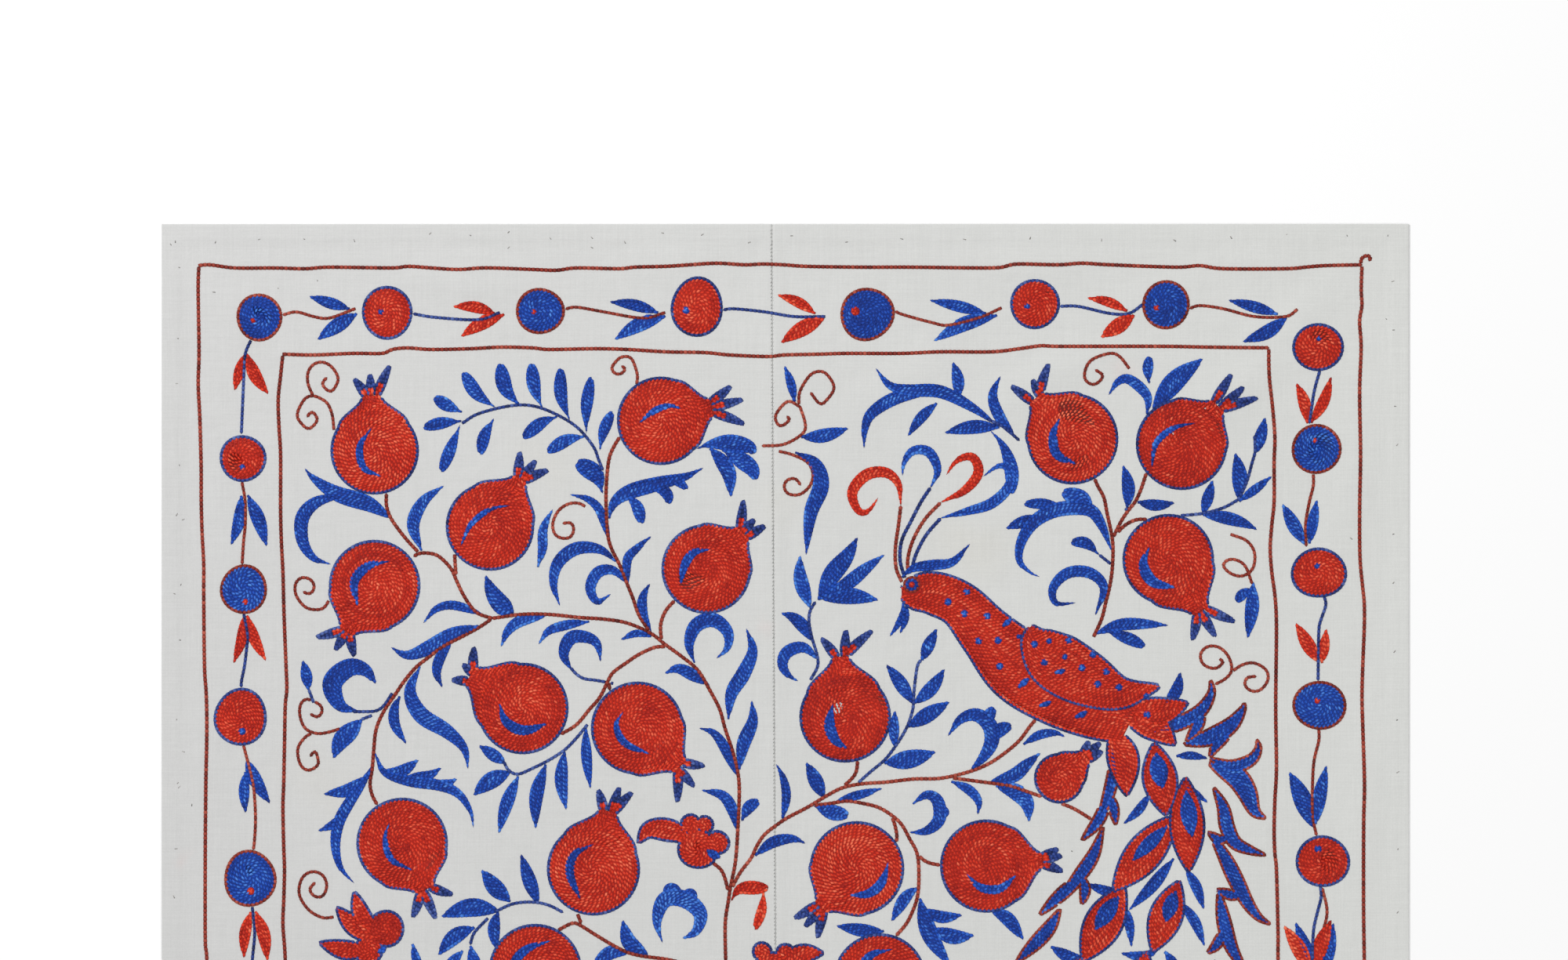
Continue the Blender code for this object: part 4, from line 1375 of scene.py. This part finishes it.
def bird():
    """A crested bird: spotted red body and wing edged in navy, blue head band, beak and eye."""
    spots(blue, BIRD_SPOTS, INLAY_LIFT)
    leaves(blue, BIRD_DASHES, lift=INLAY_LIFT)
    spots(red, (BIRD_PUPIL,), 2 * INLAY_LIFT)
    spots(blue, (BIRD_EYE,), INLAY_LIFT)
    madder.outline([disc(BIRD_EYE.x, BIRD_EYE.y, BIRD_EYE.r)], FINE_WIDTH)
    leaves(blue, (BIRD_HEAD, *BIRD_BEAK))
    wing = band_shape(BIRD_WING)
    red.fill(wing)
    navy.outline([wing])
    shapes = [band_shape(BIRD_BODY)] + [leaf(feather) for feather in BIRD_FEATHERS]
    for shape in shapes:
        red.fill(shape)
    navy.outline(shapes)
    leaves(red, CREST_RED)
    leaves(blue, CREST_BLUE)
    for piece in CREST_LINES:
        (madder if piece.silk == "red" else navy).lines((piece.path,))


def tail():
    """The bird's tail: eyed feathers edged in navy, and blue barbs and side leaves edged in dark red."""
    for eye in TAIL_EYES:
        base, tip, drop_tip = (np.array(spot, float) for spot in (eye.base, eye.tip, eye.drop_tip))
        start = base + (tip - base) * 0.14
        blue.fill(leaf(Leaf(2 * eye.drop_half, (start, (start + drop_tip) / 2, drop_tip), 0.5)), INLAY_LIFT)
        field = leaf(Leaf(2 * eye.half, (base, (base + tip) / 2, tip), 0.5))
        red.fill(field)
        navy.outline([field])
    leaves(blue, TAIL_BARBS, madder)
    leaves(blue, TAIL_LEAVES)


def border():
    """The flowers of the border, and the stem and pair of leaves between each two."""
    for points in FRAME_LINES:
        madder.lines((points,))
    for flower in ROSETTES:
        rosette(flower)
    for piece in BORDER_STEMS:
        (madder if piece.silk == "red" else navy).lines((piece.path,), STEM_WIDTH)
    leaves(blue, BLUE_BORDER_LEAVES)
    leaves(red, RED_BORDER_LEAVES)


def border_below():
    """The rest of the border: flowers in a row up the right side, along the foot and down the left side,
    each joined to the next by a stem, with two leaves that start by it and point to the next."""
    right = [(RIGHT_FLOWER_X, y) for y in RIGHT_FLOWERS_BELOW]
    foot = [(x, FOOT_FLOWER_Y) for x in FOOT_FLOWERS]
    left = [(LEFT_FLOWER_X, y) for y in LEFT_FLOWERS_BELOW]
    round_edge = left + foot + right + [(1687, 1099)]
    last = len(round_edge) - 1
    for k, (x, y) in enumerate(round_edge[:-1]):
        fill = "red" if k % 2 == 0 else "blue"
        size = FLOWER_HALF + rng.uniform(-1.5, 1.5, 2)
        at = np.array((x, y)) + rng.uniform(-3, 3, 2)
        dot = at + rng.uniform(-6, 6, 2) + (0, 8)
        rosette(Rosette(*at, *size, fill, *dot, 4))
    for k in range(last):
        link(np.array(round_edge[k], float), np.array(round_edge[k + 1], float), k % 2 == 0)


def link(start, end, red_leaves):
    """A waved stem from one flower to the next, and the leaf pair that grows near its start."""
    way = (end - start) / np.hypot(*(end - start))
    side = np.array((-way[1], way[0]))
    length = np.hypot(*(end - start))
    start, end = start + way * 34, end - way * 34
    bow = rng.uniform(3, 7) * rng.choice((-1, 1))
    middle = [start + (end - start) * t + side * bow * math.sin(2 * math.pi * t) for t in (0.25, 0.5, 0.75)]
    silk, stem = (red, navy) if red_leaves else (blue, madder)
    stem.lines(((start, *middle, end),), STEM_WIDTH)
    base = start + (end - start) * 0.08
    long = length * 0.36
    leaves(silk, (
        Leaf(15, (base + side * 3, base + way * long * 0.6 + side * 12, base + way * long + side * 15)),
        Leaf(19, (base - side * 4, base + way * long * 0.5 - side * 20, base + way * long - side * 33)),
    ))


def field():
    """The field that the photograph shows: fruits and flowers, then vines and stems, then leaves."""
    for fruit in FRUITS:
        pomegranate(fruit)
    for flower in RED_FLOWERS:
        red_flower(flower)
    bird()
    tail()
    madder.lines(VINES)
    navy.lines(STEMS, STEM_WIDTH)
    leaves(blue, BLUE_LEAVES)
    spots(blue, BLUE_LOBES)
    leaves(red, RED_LEAVES)
    madder.lines(TENDRILS, FINE_WIDTH)


def moved(piece, move):
    """A table row, or a bare path, with every place in it carried by move."""
    if isinstance(piece, Leaf):
        return piece._replace(path=tuple(move(*spot) for spot in piece.path))
    if isinstance(piece, Fruit):
        x, y = move(piece.x, piece.y)
        return piece._replace(x=x, y=y, waist=move(*piece.waist), tips=[move(*tip) for tip in piece.tips],
                              crescent=[move(*spot) for spot in piece.crescent])
    if isinstance(piece, RedFlower):
        return piece._replace(
            lobes=[Spot(*move(lobe.x, lobe.y), lobe.r) for lobe in piece.lobes],
            horns=[moved(horn, move) for horn in piece.horns],
            inlay=[move(*spot) for spot in piece.inlay])
    return tuple(move(*spot) for spot in piece)


def places(piece):
    """The places that say where a table row lies."""
    if isinstance(piece, Leaf):
        return piece.path
    if isinstance(piece, Fruit):
        return ((piece.x, piece.y),)
    if isinstance(piece, RedFlower):
        return ((piece.lobes[0].x, piece.lobes[0].y),)
    return piece


def repeat(box, move):
    """Work what lies in a box of the upper field again, at the place that move gives."""
    def inside(pieces):
        low_x, low_y, high_x, high_y = box
        return [moved(piece, move) for piece in pieces
                if all(low_x <= x <= high_x and low_y <= y <= high_y for x, y in places(piece))]
    for fruit in inside(FRUITS):
        pomegranate(fruit)
    for flower in inside(RED_FLOWERS):
        red_flower(flower)
    return [inside(pieces) for pieces in (VINES, STEMS, BLUE_LEAVES, RED_LEAVES, TENDRILS)]


def field_below():
    """The field below the photograph, in the same repertory: parts of the upper field turned or mirrored
    and gently bent, so that no two are alike, hung on a trunk that forks towards the foot."""
    def carry(turn_x, turn_y, at_x, at_y, phase):
        def move(x, y):
            bent_x = x + 9 * math.sin(y / 95 + phase)
            bent_y = y + 7 * math.sin(x / 120 + 2 * phase)
            return (at_x + turn_x * bent_x, at_y + turn_y * bent_y)
        return move

    work = [repeat(box, carry(*values)) for box, values in REPEATS]
    madder.lines(TRUNK_BELOW)
    for fruit in FRUITS_BELOW:
        pomegranate(fruit)
    for kind, lay in enumerate((
            madder.lines,
            lambda paths: navy.lines(paths, STEM_WIDTH),
            lambda pieces: leaves(blue, pieces),
            lambda pieces: leaves(red, pieces),
            lambda paths: madder.lines(paths, FINE_WIDTH))):
        for groups in work:
            lay(groups[kind])
    leaves(blue, LEAVES_BELOW)

# Cloth, seam and hem


def stations(length, start_detail, end_detail):
    """Grid stations across a panel: close together at both edges, GRID_PITCH apart between them."""
    start = np.array(start_detail)
    end = length - np.array(end_detail)[::-1]
    count = max(2, round((end[0] - start[-1]) / GRID_PITCH))
    middle = np.linspace(start[-1], end[0], count + 1)[1:-1]
    return np.concatenate((start, middle, end))


def panel_grid(is_left):
    """Where the stations of one panel fall: x by row and column, and y by row."""
    hem = (0.0, 0.0004, EDGE_ROLL, 0.004, HEM_WIDTH - 0.004, HEM_WIDTH, HEM_WIDTH + FOLD_STEP)
    seam = (0.0, 0.0005, SEAM_ROLL, 0.004, SEAM_ALLOWANCE - SEAM_GAP / 2,
            SEAM_ALLOWANCE + FOLD_STEP - SEAM_GAP / 2)
    width = CLOTH_WIDTH / 2 + seam_x(0.0)
    width = width if is_left else CLOTH_WIDTH - width
    across = stations(width, hem, seam)
    y = stations(CLOTH_LENGTH, hem, hem) - HALF_LENGTH
    reach = CLOTH_WIDTH / 2 + seam_x(y) * (1 if is_left else -1) - SEAM_GAP / 2
    near_seam = across > across[-1] - SEAM_ALLOWANCE - FOLD_STEP
    stretched = across[None, :] * (reach / across[-1])[:, None]
    fixed = reach[:, None] - (across[-1] - across)[None, :]
    from_edge = np.where(near_seam[None, :], fixed, stretched)
    from_edge[:, :len(hem)] = across[:len(hem)]
    x = from_edge - CLOTH_WIDTH / 2
    return (x if is_left else -x[:, ::-1]), np.repeat(y[:, None], x.shape[1], axis=1)


def grid_faces(rows, columns):
    """Quads over a grid of rows by columns points."""
    index = np.arange(rows * columns).reshape(rows, columns)
    a, b, c, d = index[:-1, :-1], index[:-1, 1:], index[1:, 1:], index[1:, :-1]
    return np.stack((a, b, c, d), axis=-1).reshape(-1, 4)


def panel(name, is_left, material):
    """One panel of cloth: its face, its underside and the thin rim that joins them."""
    x, y = panel_grid(is_left)
    rows, columns = x.shape
    face = np.dstack((x, y, cloth_top(x, y))).reshape(-1, 3)
    back = np.dstack((x, y, ripple_lift(x, y))).reshape(-1, 3)
    upper = grid_faces(rows, columns)
    lower = upper[:, ::-1] + rows * columns
    index = np.arange(rows * columns).reshape(rows, columns)
    rim = np.concatenate((index[0, :], index[1:, -1], index[-1, -2::-1], index[-2::-1, 0]))
    sides = np.column_stack((rim[1:], rim[:-1], rim[:-1] + rows * columns, rim[1:] + rows * columns))
    piece = new_mesh(name, np.vstack((face, back)), np.vstack((upper, lower, sides)), material)
    under = np.repeat(np.arange(len(upper) * 2 + len(sides)) >= len(upper), 4)
    for attribute, spots in (("pink", PINK_STAINS), ("yellow", YELLOW_STAINS)):
        layer = piece.data.attributes.new(attribute, "FLOAT", "POINT")
        stain = stain_depth(x.ravel(), y.ravel(), spots)
        layer.data.foreach_set("value", np.concatenate((stain, stain)).astype(np.float32))
    bake_map(piece, under)
    return piece


def stain_depth(x, y, stains):
    """Soft round stains: the sum of depth times bump(distance / radius), the radius waving with angle."""
    total = np.zeros_like(x)
    for stain in stains:
        middle = place(((stain.x, stain.y),))[0]
        dx, dy = x - middle[0], y - middle[1]
        angle = np.arctan2(dy, dx)
        radius = stain.r * PIXEL * (1 + 0.25 * np.sin(2 * angle + stain.x) + 0.15 * np.sin(3 * angle))
        total += stain.depth * bump(np.hypot(dx, dy) / radius)
    return total


def seam_thread(material):
    """Small slanting stitches that whip the two panels together, drawn down into the seam."""
    y = np.arange(-HALF_LENGTH + 0.004, HALF_LENGTH - 0.004, WHIP_STEP)
    x = seam_x(y)
    lean = rng.uniform(0.7, 1.3, len(y)) * WHIP_STEP * 0.5
    half = rng.uniform(0.85, 1.15, len(y)) * WHIP_HALF
    count = len(y)
    stitches = np.column_stack((x - half, y - lean, x + half, y + lean, np.full(count, WHIP_WIDTH),
                                np.full(count, WHIP_RISE), np.zeros(count), rng.normal(0, 0.3, count),
                                np.zeros(count), np.zeros(count)))
    return stitch_piece("seam_thread", stitches, material)


def hem_catches(material):
    """Single small stitches that catch the hem down, and thread ends left in the margins. Their dark grey is
    partly the thread's own and partly painted shade of the small puckers they draw in the cloth.
    """
    top = [(x, EDGE_TOP + 16 + rng.uniform(-6, 8)) for x in HEM_CATCHES_TOP]
    foot = [(x + rng.uniform(-20, 20), 2655 + rng.uniform(-4, 4)) for x in HEM_CATCHES_TOP]
    sides = [(x + rng.uniform(-4, 4), y + rng.uniform(-20, 20))
             for y in np.arange(340, 2640, HEM_CATCH_STEP) for x in (226, 1780)]
    spots = place(np.vstack((top, foot, sides, LOOSE_SPECKS)))
    angle = rng.uniform(0, np.pi, len(spots))
    half = rng.uniform(0.0007, 0.0016, len(spots))
    way = np.column_stack((np.cos(angle), np.sin(angle))) * half[:, None]
    count = len(spots)
    stitches = np.column_stack((spots - way, spots + way, rng.uniform(0.0009, 0.0014, count),
                                np.full(count, 0.0004), np.zeros(count), rng.normal(0, 0.3, count),
                                np.zeros(count), np.zeros(count)))
    return stitch_piece("hem_catches", stitches, material)


# Materials


def nodes_of(name):
    """A new node material, with its shader and a function that adds and links nodes."""
    material = bpy.data.materials.new(name)
    material.use_nodes = True
    tree = material.node_tree
    shader = tree.nodes["Principled BSDF"]

    def add(kind, inputs=None, **settings):
        node = tree.nodes.new(kind)
        for key, value in settings.items():
            setattr(node, key, value)
        for key, value in (inputs or {}).items():
            if isinstance(value, bpy.types.NodeSocket):
                tree.links.new(value, node.inputs[key])
            else:
                node.inputs[key].default_value = value
        return node

    return material, tree, shader, add


def stretch(add, source, scale):
    """Coordinates scaled by a different amount along each axis."""
    return add("ShaderNodeMapping", {"Vector": source, "Scale": scale}).outputs["Vector"]


def remap(add, value, low, high, to_low, to_high):
    """A value brought from one range to another, and kept inside it."""
    return add("ShaderNodeMapRange", {"Value": value, "From Min": low, "From Max": high,
                                      "To Min": to_low, "To Max": to_high}).outputs["Result"]


def mix(add, share, first, second, blend="MIX"):
    """Two colours mixed by a share."""
    node = add("ShaderNodeMix", data_type="RGBA", blend_type=blend)
    tree = node.id_data
    for key, value in ((0, share), (6, first), (7, second)):
        if isinstance(value, bpy.types.NodeSocket):
            tree.links.new(value, node.inputs[key])
        else:
            node.inputs[key].default_value = value
    return node.outputs[2]


def maths(add, operation, first, second):
    """One sum of two values."""
    node = add("ShaderNodeMath", operation=operation)
    tree = node.id_data
    for key, value in ((0, first), (1, second)):
        if isinstance(value, bpy.types.NodeSocket):
            tree.links.new(value, node.inputs[key])
        else:
            node.inputs[key].default_value = value
    return node.outputs[0]


def linear(red_255, green_255, blue_255):
    """A colour read as 0 to 255, as the linear light that nodes take."""
    share = np.array((red_255, green_255, blue_255)) / 255
    light = np.where(share <= 0.04045, share / 12.92, ((share + 0.055) / 1.055) ** 2.4)
    return (*light, 1.0)


def silk_material(name, dark, middle, light):
    """Floss silk: its colour runs from dark to light with each stitch's tone and fades in soft patches;
    fine filaments along the thread make its bump, and a low sheen lies over it."""
    material, tree, shader, add = nodes_of(name)
    tone = add("ShaderNodeAttribute", attribute_name="tone").outputs["Fac"]
    spot = add("ShaderNodeTexCoord").outputs["Object"]
    patch = add("ShaderNodeTexNoise", {"Vector": spot, "Scale": 24.0, "Detail": 3.0}).outputs["Fac"]
    thread = add("ShaderNodeUVMap", uv_map="thread").outputs["UV"]
    grain = add("ShaderNodeTexNoise", {"Vector": stretch(add, thread, (140.0, 2600.0, 1.0)), "Scale": 1.0,
                                       "Detail": 2.0}).outputs["Fac"]
    depth = maths(add, "ADD", tone, remap(add, patch, 0.3, 0.7, -0.22, 0.22))
    depth = maths(add, "ADD", depth, remap(add, grain, 0.3, 0.7, -0.3, 0.3))
    # The ramp's light end is partly painted highlight and its dark end partly painted shade.
    ramp = add("ShaderNodeValToRGB", {"Fac": remap(add, depth, -1.0, 1.0, 0.0, 1.0)})
    stops = ramp.color_ramp.elements
    stops[0].position, stops[0].color = 0.05, dark
    stops[1].position, stops[1].color = 0.98, light
    stops.new(0.52).color = middle
    tree.links.new(ramp.outputs["Color"], shader.inputs["Base Color"])
    relief = add("ShaderNodeBump", {"Height": grain, "Strength": 0.35, "Distance": 0.0002})
    tree.links.new(relief.outputs["Normal"], shader.inputs["Normal"])
    shader.inputs["Roughness"].default_value = 0.5
    shader.inputs["Specular IOR Level"].default_value = 0.25
    shader.inputs["Sheen Weight"].default_value = 0.05
    shader.inputs["Sheen Roughness"].default_value = 0.4
    return material


def cloth_material():
    """Off-white cotton and silk: a plain weave with slubs both ways, slightly greyer to the left and lighter
    to the right as painted shade and light, with a few old stains."""
    material, tree, shader, add = nodes_of("ground_cotton")
    spot = add("ShaderNodeTexCoord").outputs["Object"]
    parts = add("ShaderNodeSeparateXYZ", {"Vector": spot})
    # Painted shade and light: the cloth's colour runs from darker at the left to lighter at the right.
    side = remap(add, parts.outputs["X"], -0.7, 0.7, 0.0, 1.0)
    colour = mix(add, side, linear(*CLOTH_SHADED_LEFT), linear(*CLOTH_LIT_RIGHT))
    cloud = add("ShaderNodeTexNoise", {"Vector": spot, "Scale": 5.0, "Detail": 4.0}).outputs["Fac"]
    weft = add("ShaderNodeTexNoise", {"Vector": stretch(add, spot, (18.0, 620.0, 1.0)), "Scale": 1.0,
                                      "Detail": 2.0}).outputs["Fac"]
    warp = add("ShaderNodeTexNoise", {"Vector": stretch(add, spot, (620.0, 18.0, 1.0)), "Scale": 1.0,
                                      "Detail": 2.0}).outputs["Fac"]
    speckle = add("ShaderNodeTexNoise", {"Vector": spot, "Scale": 520.0, "Detail": 2.0}).outputs["Fac"]
    shade = maths(add, "ADD", remap(add, cloud, 0.3, 0.7, -0.012, 0.012),
                  remap(add, weft, 0.3, 0.7, -0.022, 0.022))
    shade = maths(add, "ADD", shade, remap(add, warp, 0.3, 0.7, -0.022, 0.022))
    shade = maths(add, "ADD", shade, remap(add, speckle, 0.3, 0.7, -0.022, 0.022))
    value = add("ShaderNodeHueSaturation", {"Color": colour, "Value": maths(add, "ADD", shade, 1.0)})
    pink = add("ShaderNodeAttribute", attribute_name="pink").outputs["Fac"]
    yellow = add("ShaderNodeAttribute", attribute_name="yellow").outputs["Fac"]
    colour = mix(add, pink, value.outputs["Color"], linear(*STAIN_PINK))
    colour = mix(add, yellow, colour, linear(*STAIN_YELLOW))
    tree.links.new(colour, shader.inputs["Base Color"])
    weave_x = add("ShaderNodeTexWave", {"Vector": spot, "Scale": WEAVE_SCALE, "Distortion": 1.5,
                                        "Detail": 1.0}, bands_direction="X").outputs["Fac"]
    weave_y = add("ShaderNodeTexWave", {"Vector": spot, "Scale": WEAVE_SCALE, "Distortion": 1.5,
                                        "Detail": 1.0}, bands_direction="Y").outputs["Fac"]
    height = maths(add, "MULTIPLY", weave_x, weave_y)
    height = maths(add, "ADD", height, maths(add, "ADD", weft, warp))
    relief = add("ShaderNodeBump", {"Height": height, "Strength": 0.35, "Distance": 0.00025})
    puckers = add("ShaderNodeTexNoise", {"Vector": spot, "Scale": 46.0, "Detail": 2.0}).outputs["Fac"]
    soft = add("ShaderNodeBump", {"Height": puckers, "Strength": 0.5, "Distance": 0.0022,
                                  "Normal": relief.outputs["Normal"]})
    tree.links.new(soft.outputs["Normal"], shader.inputs["Normal"])
    shader.inputs["Roughness"].default_value = 0.86
    shader.inputs["Specular IOR Level"].default_value = 0.25
    shader.inputs["Sheen Weight"].default_value = 0.06
    return material


def plain_material(name, colour, roughness):
    """An even colour, for the floor."""
    material, tree, shader, add = nodes_of(name)
    shader.inputs["Base Color"].default_value = colour
    shader.inputs["Roughness"].default_value = roughness
    shader.inputs["Specular IOR Level"].default_value = 0.0
    return material


# Floor, light and camera


def studio():
    """A white floor under the cloth, even soft light from the upper left, and a camera straight above."""
    floor_points = np.array(((-1, -1, 0), (1, -1, 0), (1, 1, 0), (-1, 1, 0)), float) * FLOOR_SIZE / 2
    floor = new_mesh("floor", floor_points - (0, 0, FLOOR_DROP), np.array(((0, 1, 2, 3),)),
                     plain_material("studio_floor", (0.96, 0.96, 0.96, 1.0), 0.9), smooth=False)
    world = bpy.data.worlds.new("studio")
    world.use_nodes = True
    world.node_tree.nodes["Background"].inputs["Color"].default_value = (1.0, 1.0, 1.0, 1.0)
    world.node_tree.nodes["Background"].inputs["Strength"].default_value = WORLD_LIGHT
    bpy.context.scene.world = world
    for name, spot, power, size in LAMPS:
        lamp = bpy.data.lights.new(name, "AREA")
        lamp.energy = power
        lamp.size = size
        holder = bpy.data.objects.new(name, lamp)
        holder.location = spot
        aim = Vector(spot) - Vector((0.0, 0.4, 0.0))
        holder.rotation_euler = aim.to_track_quat("Z", "Y").to_euler()
        bpy.context.scene.collection.objects.link(holder)
    camera = bpy.data.cameras.new("camera")
    camera.sensor_width = SENSOR_WIDTH
    camera.lens = SENSOR_WIDTH * CAMERA_HEIGHT / (PHOTO_WIDTH * PIXEL)
    camera.clip_end = 40.0
    holder = bpy.data.objects.new("camera", camera)
    middle = place(((PHOTO_WIDTH / 2, PHOTO_HEIGHT / 2),))[0]
    holder.location = (middle[0], middle[1], CAMERA_HEIGHT)
    bpy.context.scene.collection.objects.link(holder)
    bpy.context.scene.camera = holder
    bpy.context.scene.view_settings.view_transform = "Standard"


def worked_pieces(silk, colours):
    """One silk's stitches and padding, as a piece of each for either panel."""
    material = silk_material(silk.name, *(linear(*colour) for colour in colours))
    stitches = np.vstack(silk.stitches)
    on_left = (stitches[:, 0] + stitches[:, 2]) / 2 < seam_x((stitches[:, 1] + stitches[:, 3]) / 2)
    beds = [(bed[2].mean(axis=0) if bed[1] == "spine" else bed[2], bed) for bed in silk.padding]
    left, right = [], []
    for side, pieces, chosen in (("left", left, on_left), ("right", right, ~on_left)):
        pieces.append(stitch_piece(f"{silk.name}_{side}", stitches[chosen], material))
        near = [bed for middle, bed in beds if (middle[0] < seam_x(middle[1])) == (side == "left")]
        if near:
            pieces.append(padding_piece(f"{silk.name}_padding_{side}", near, material))
    return left, right


def main():
    border()
    field()
    border_below()
    field_below()
    cotton = cloth_material()
    fine = silk_material("cotton_thread", linear(176, 176, 174), linear(206, 206, 203),
                         linear(226, 226, 223))
    # The catch stitches' grey is partly the thread's colour and partly painted shade of the puckers around
    # them.
    catch_grey_and_shade = silk_material("grey_thread_and_pucker_shade", linear(110, 108, 106), linear(150, 147, 143), linear(190, 188, 184))
    on_left, on_right = [seam_thread(fine), hem_catches(catch_grey_and_shade)], []
    for piece in on_left:
        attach(piece, "root")
    for silk, slot, colours in SILKS:
        left, right = worked_pieces(silk, colours)
        for piece in left + right:
            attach(piece, "root")
        on_left += left
        on_right += right
    sheets = (("cloth_left", True, "panel_left", LEFT_WIDTH, on_left),
              ("cloth_right", False, "panel_right", RIGHT_WIDTH, on_right))
    for name, is_left, node, width, pieces in sheets:
        piece = panel(name, is_left, cotton)
        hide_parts(node)
        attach(piece, "root")
        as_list(pieces)


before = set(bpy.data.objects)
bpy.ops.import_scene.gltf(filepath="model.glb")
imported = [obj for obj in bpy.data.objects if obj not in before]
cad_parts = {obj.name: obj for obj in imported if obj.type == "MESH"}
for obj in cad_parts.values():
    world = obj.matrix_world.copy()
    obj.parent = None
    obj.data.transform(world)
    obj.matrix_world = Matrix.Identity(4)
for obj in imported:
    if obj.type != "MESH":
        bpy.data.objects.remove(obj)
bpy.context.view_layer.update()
ground = Ground()
red = Silk("red_chain")
blue = Silk("blue_chain")
madder = Silk("dark_red_lines")
navy = Silk("navy_lines")
# Each silk's colours run dark, middle and light. The light end is partly painted highlight, the glint of single
# loops, and the dark end partly painted shade between them.
SILKS = (
    (red, "red_silk", ((156, 18, 6), (220, 50, 20), (250, 124, 88))),
    (blue, "blue_silk", ((6, 44, 128), (20, 78, 188), (86, 150, 236))),
    (madder, "madder_silk", ((88, 22, 16), (144, 48, 34), (188, 92, 74))),
    (navy, "navy_silk", ((18, 34, 84), (38, 62, 138), (92, 114, 178))),
)
main()
studio()
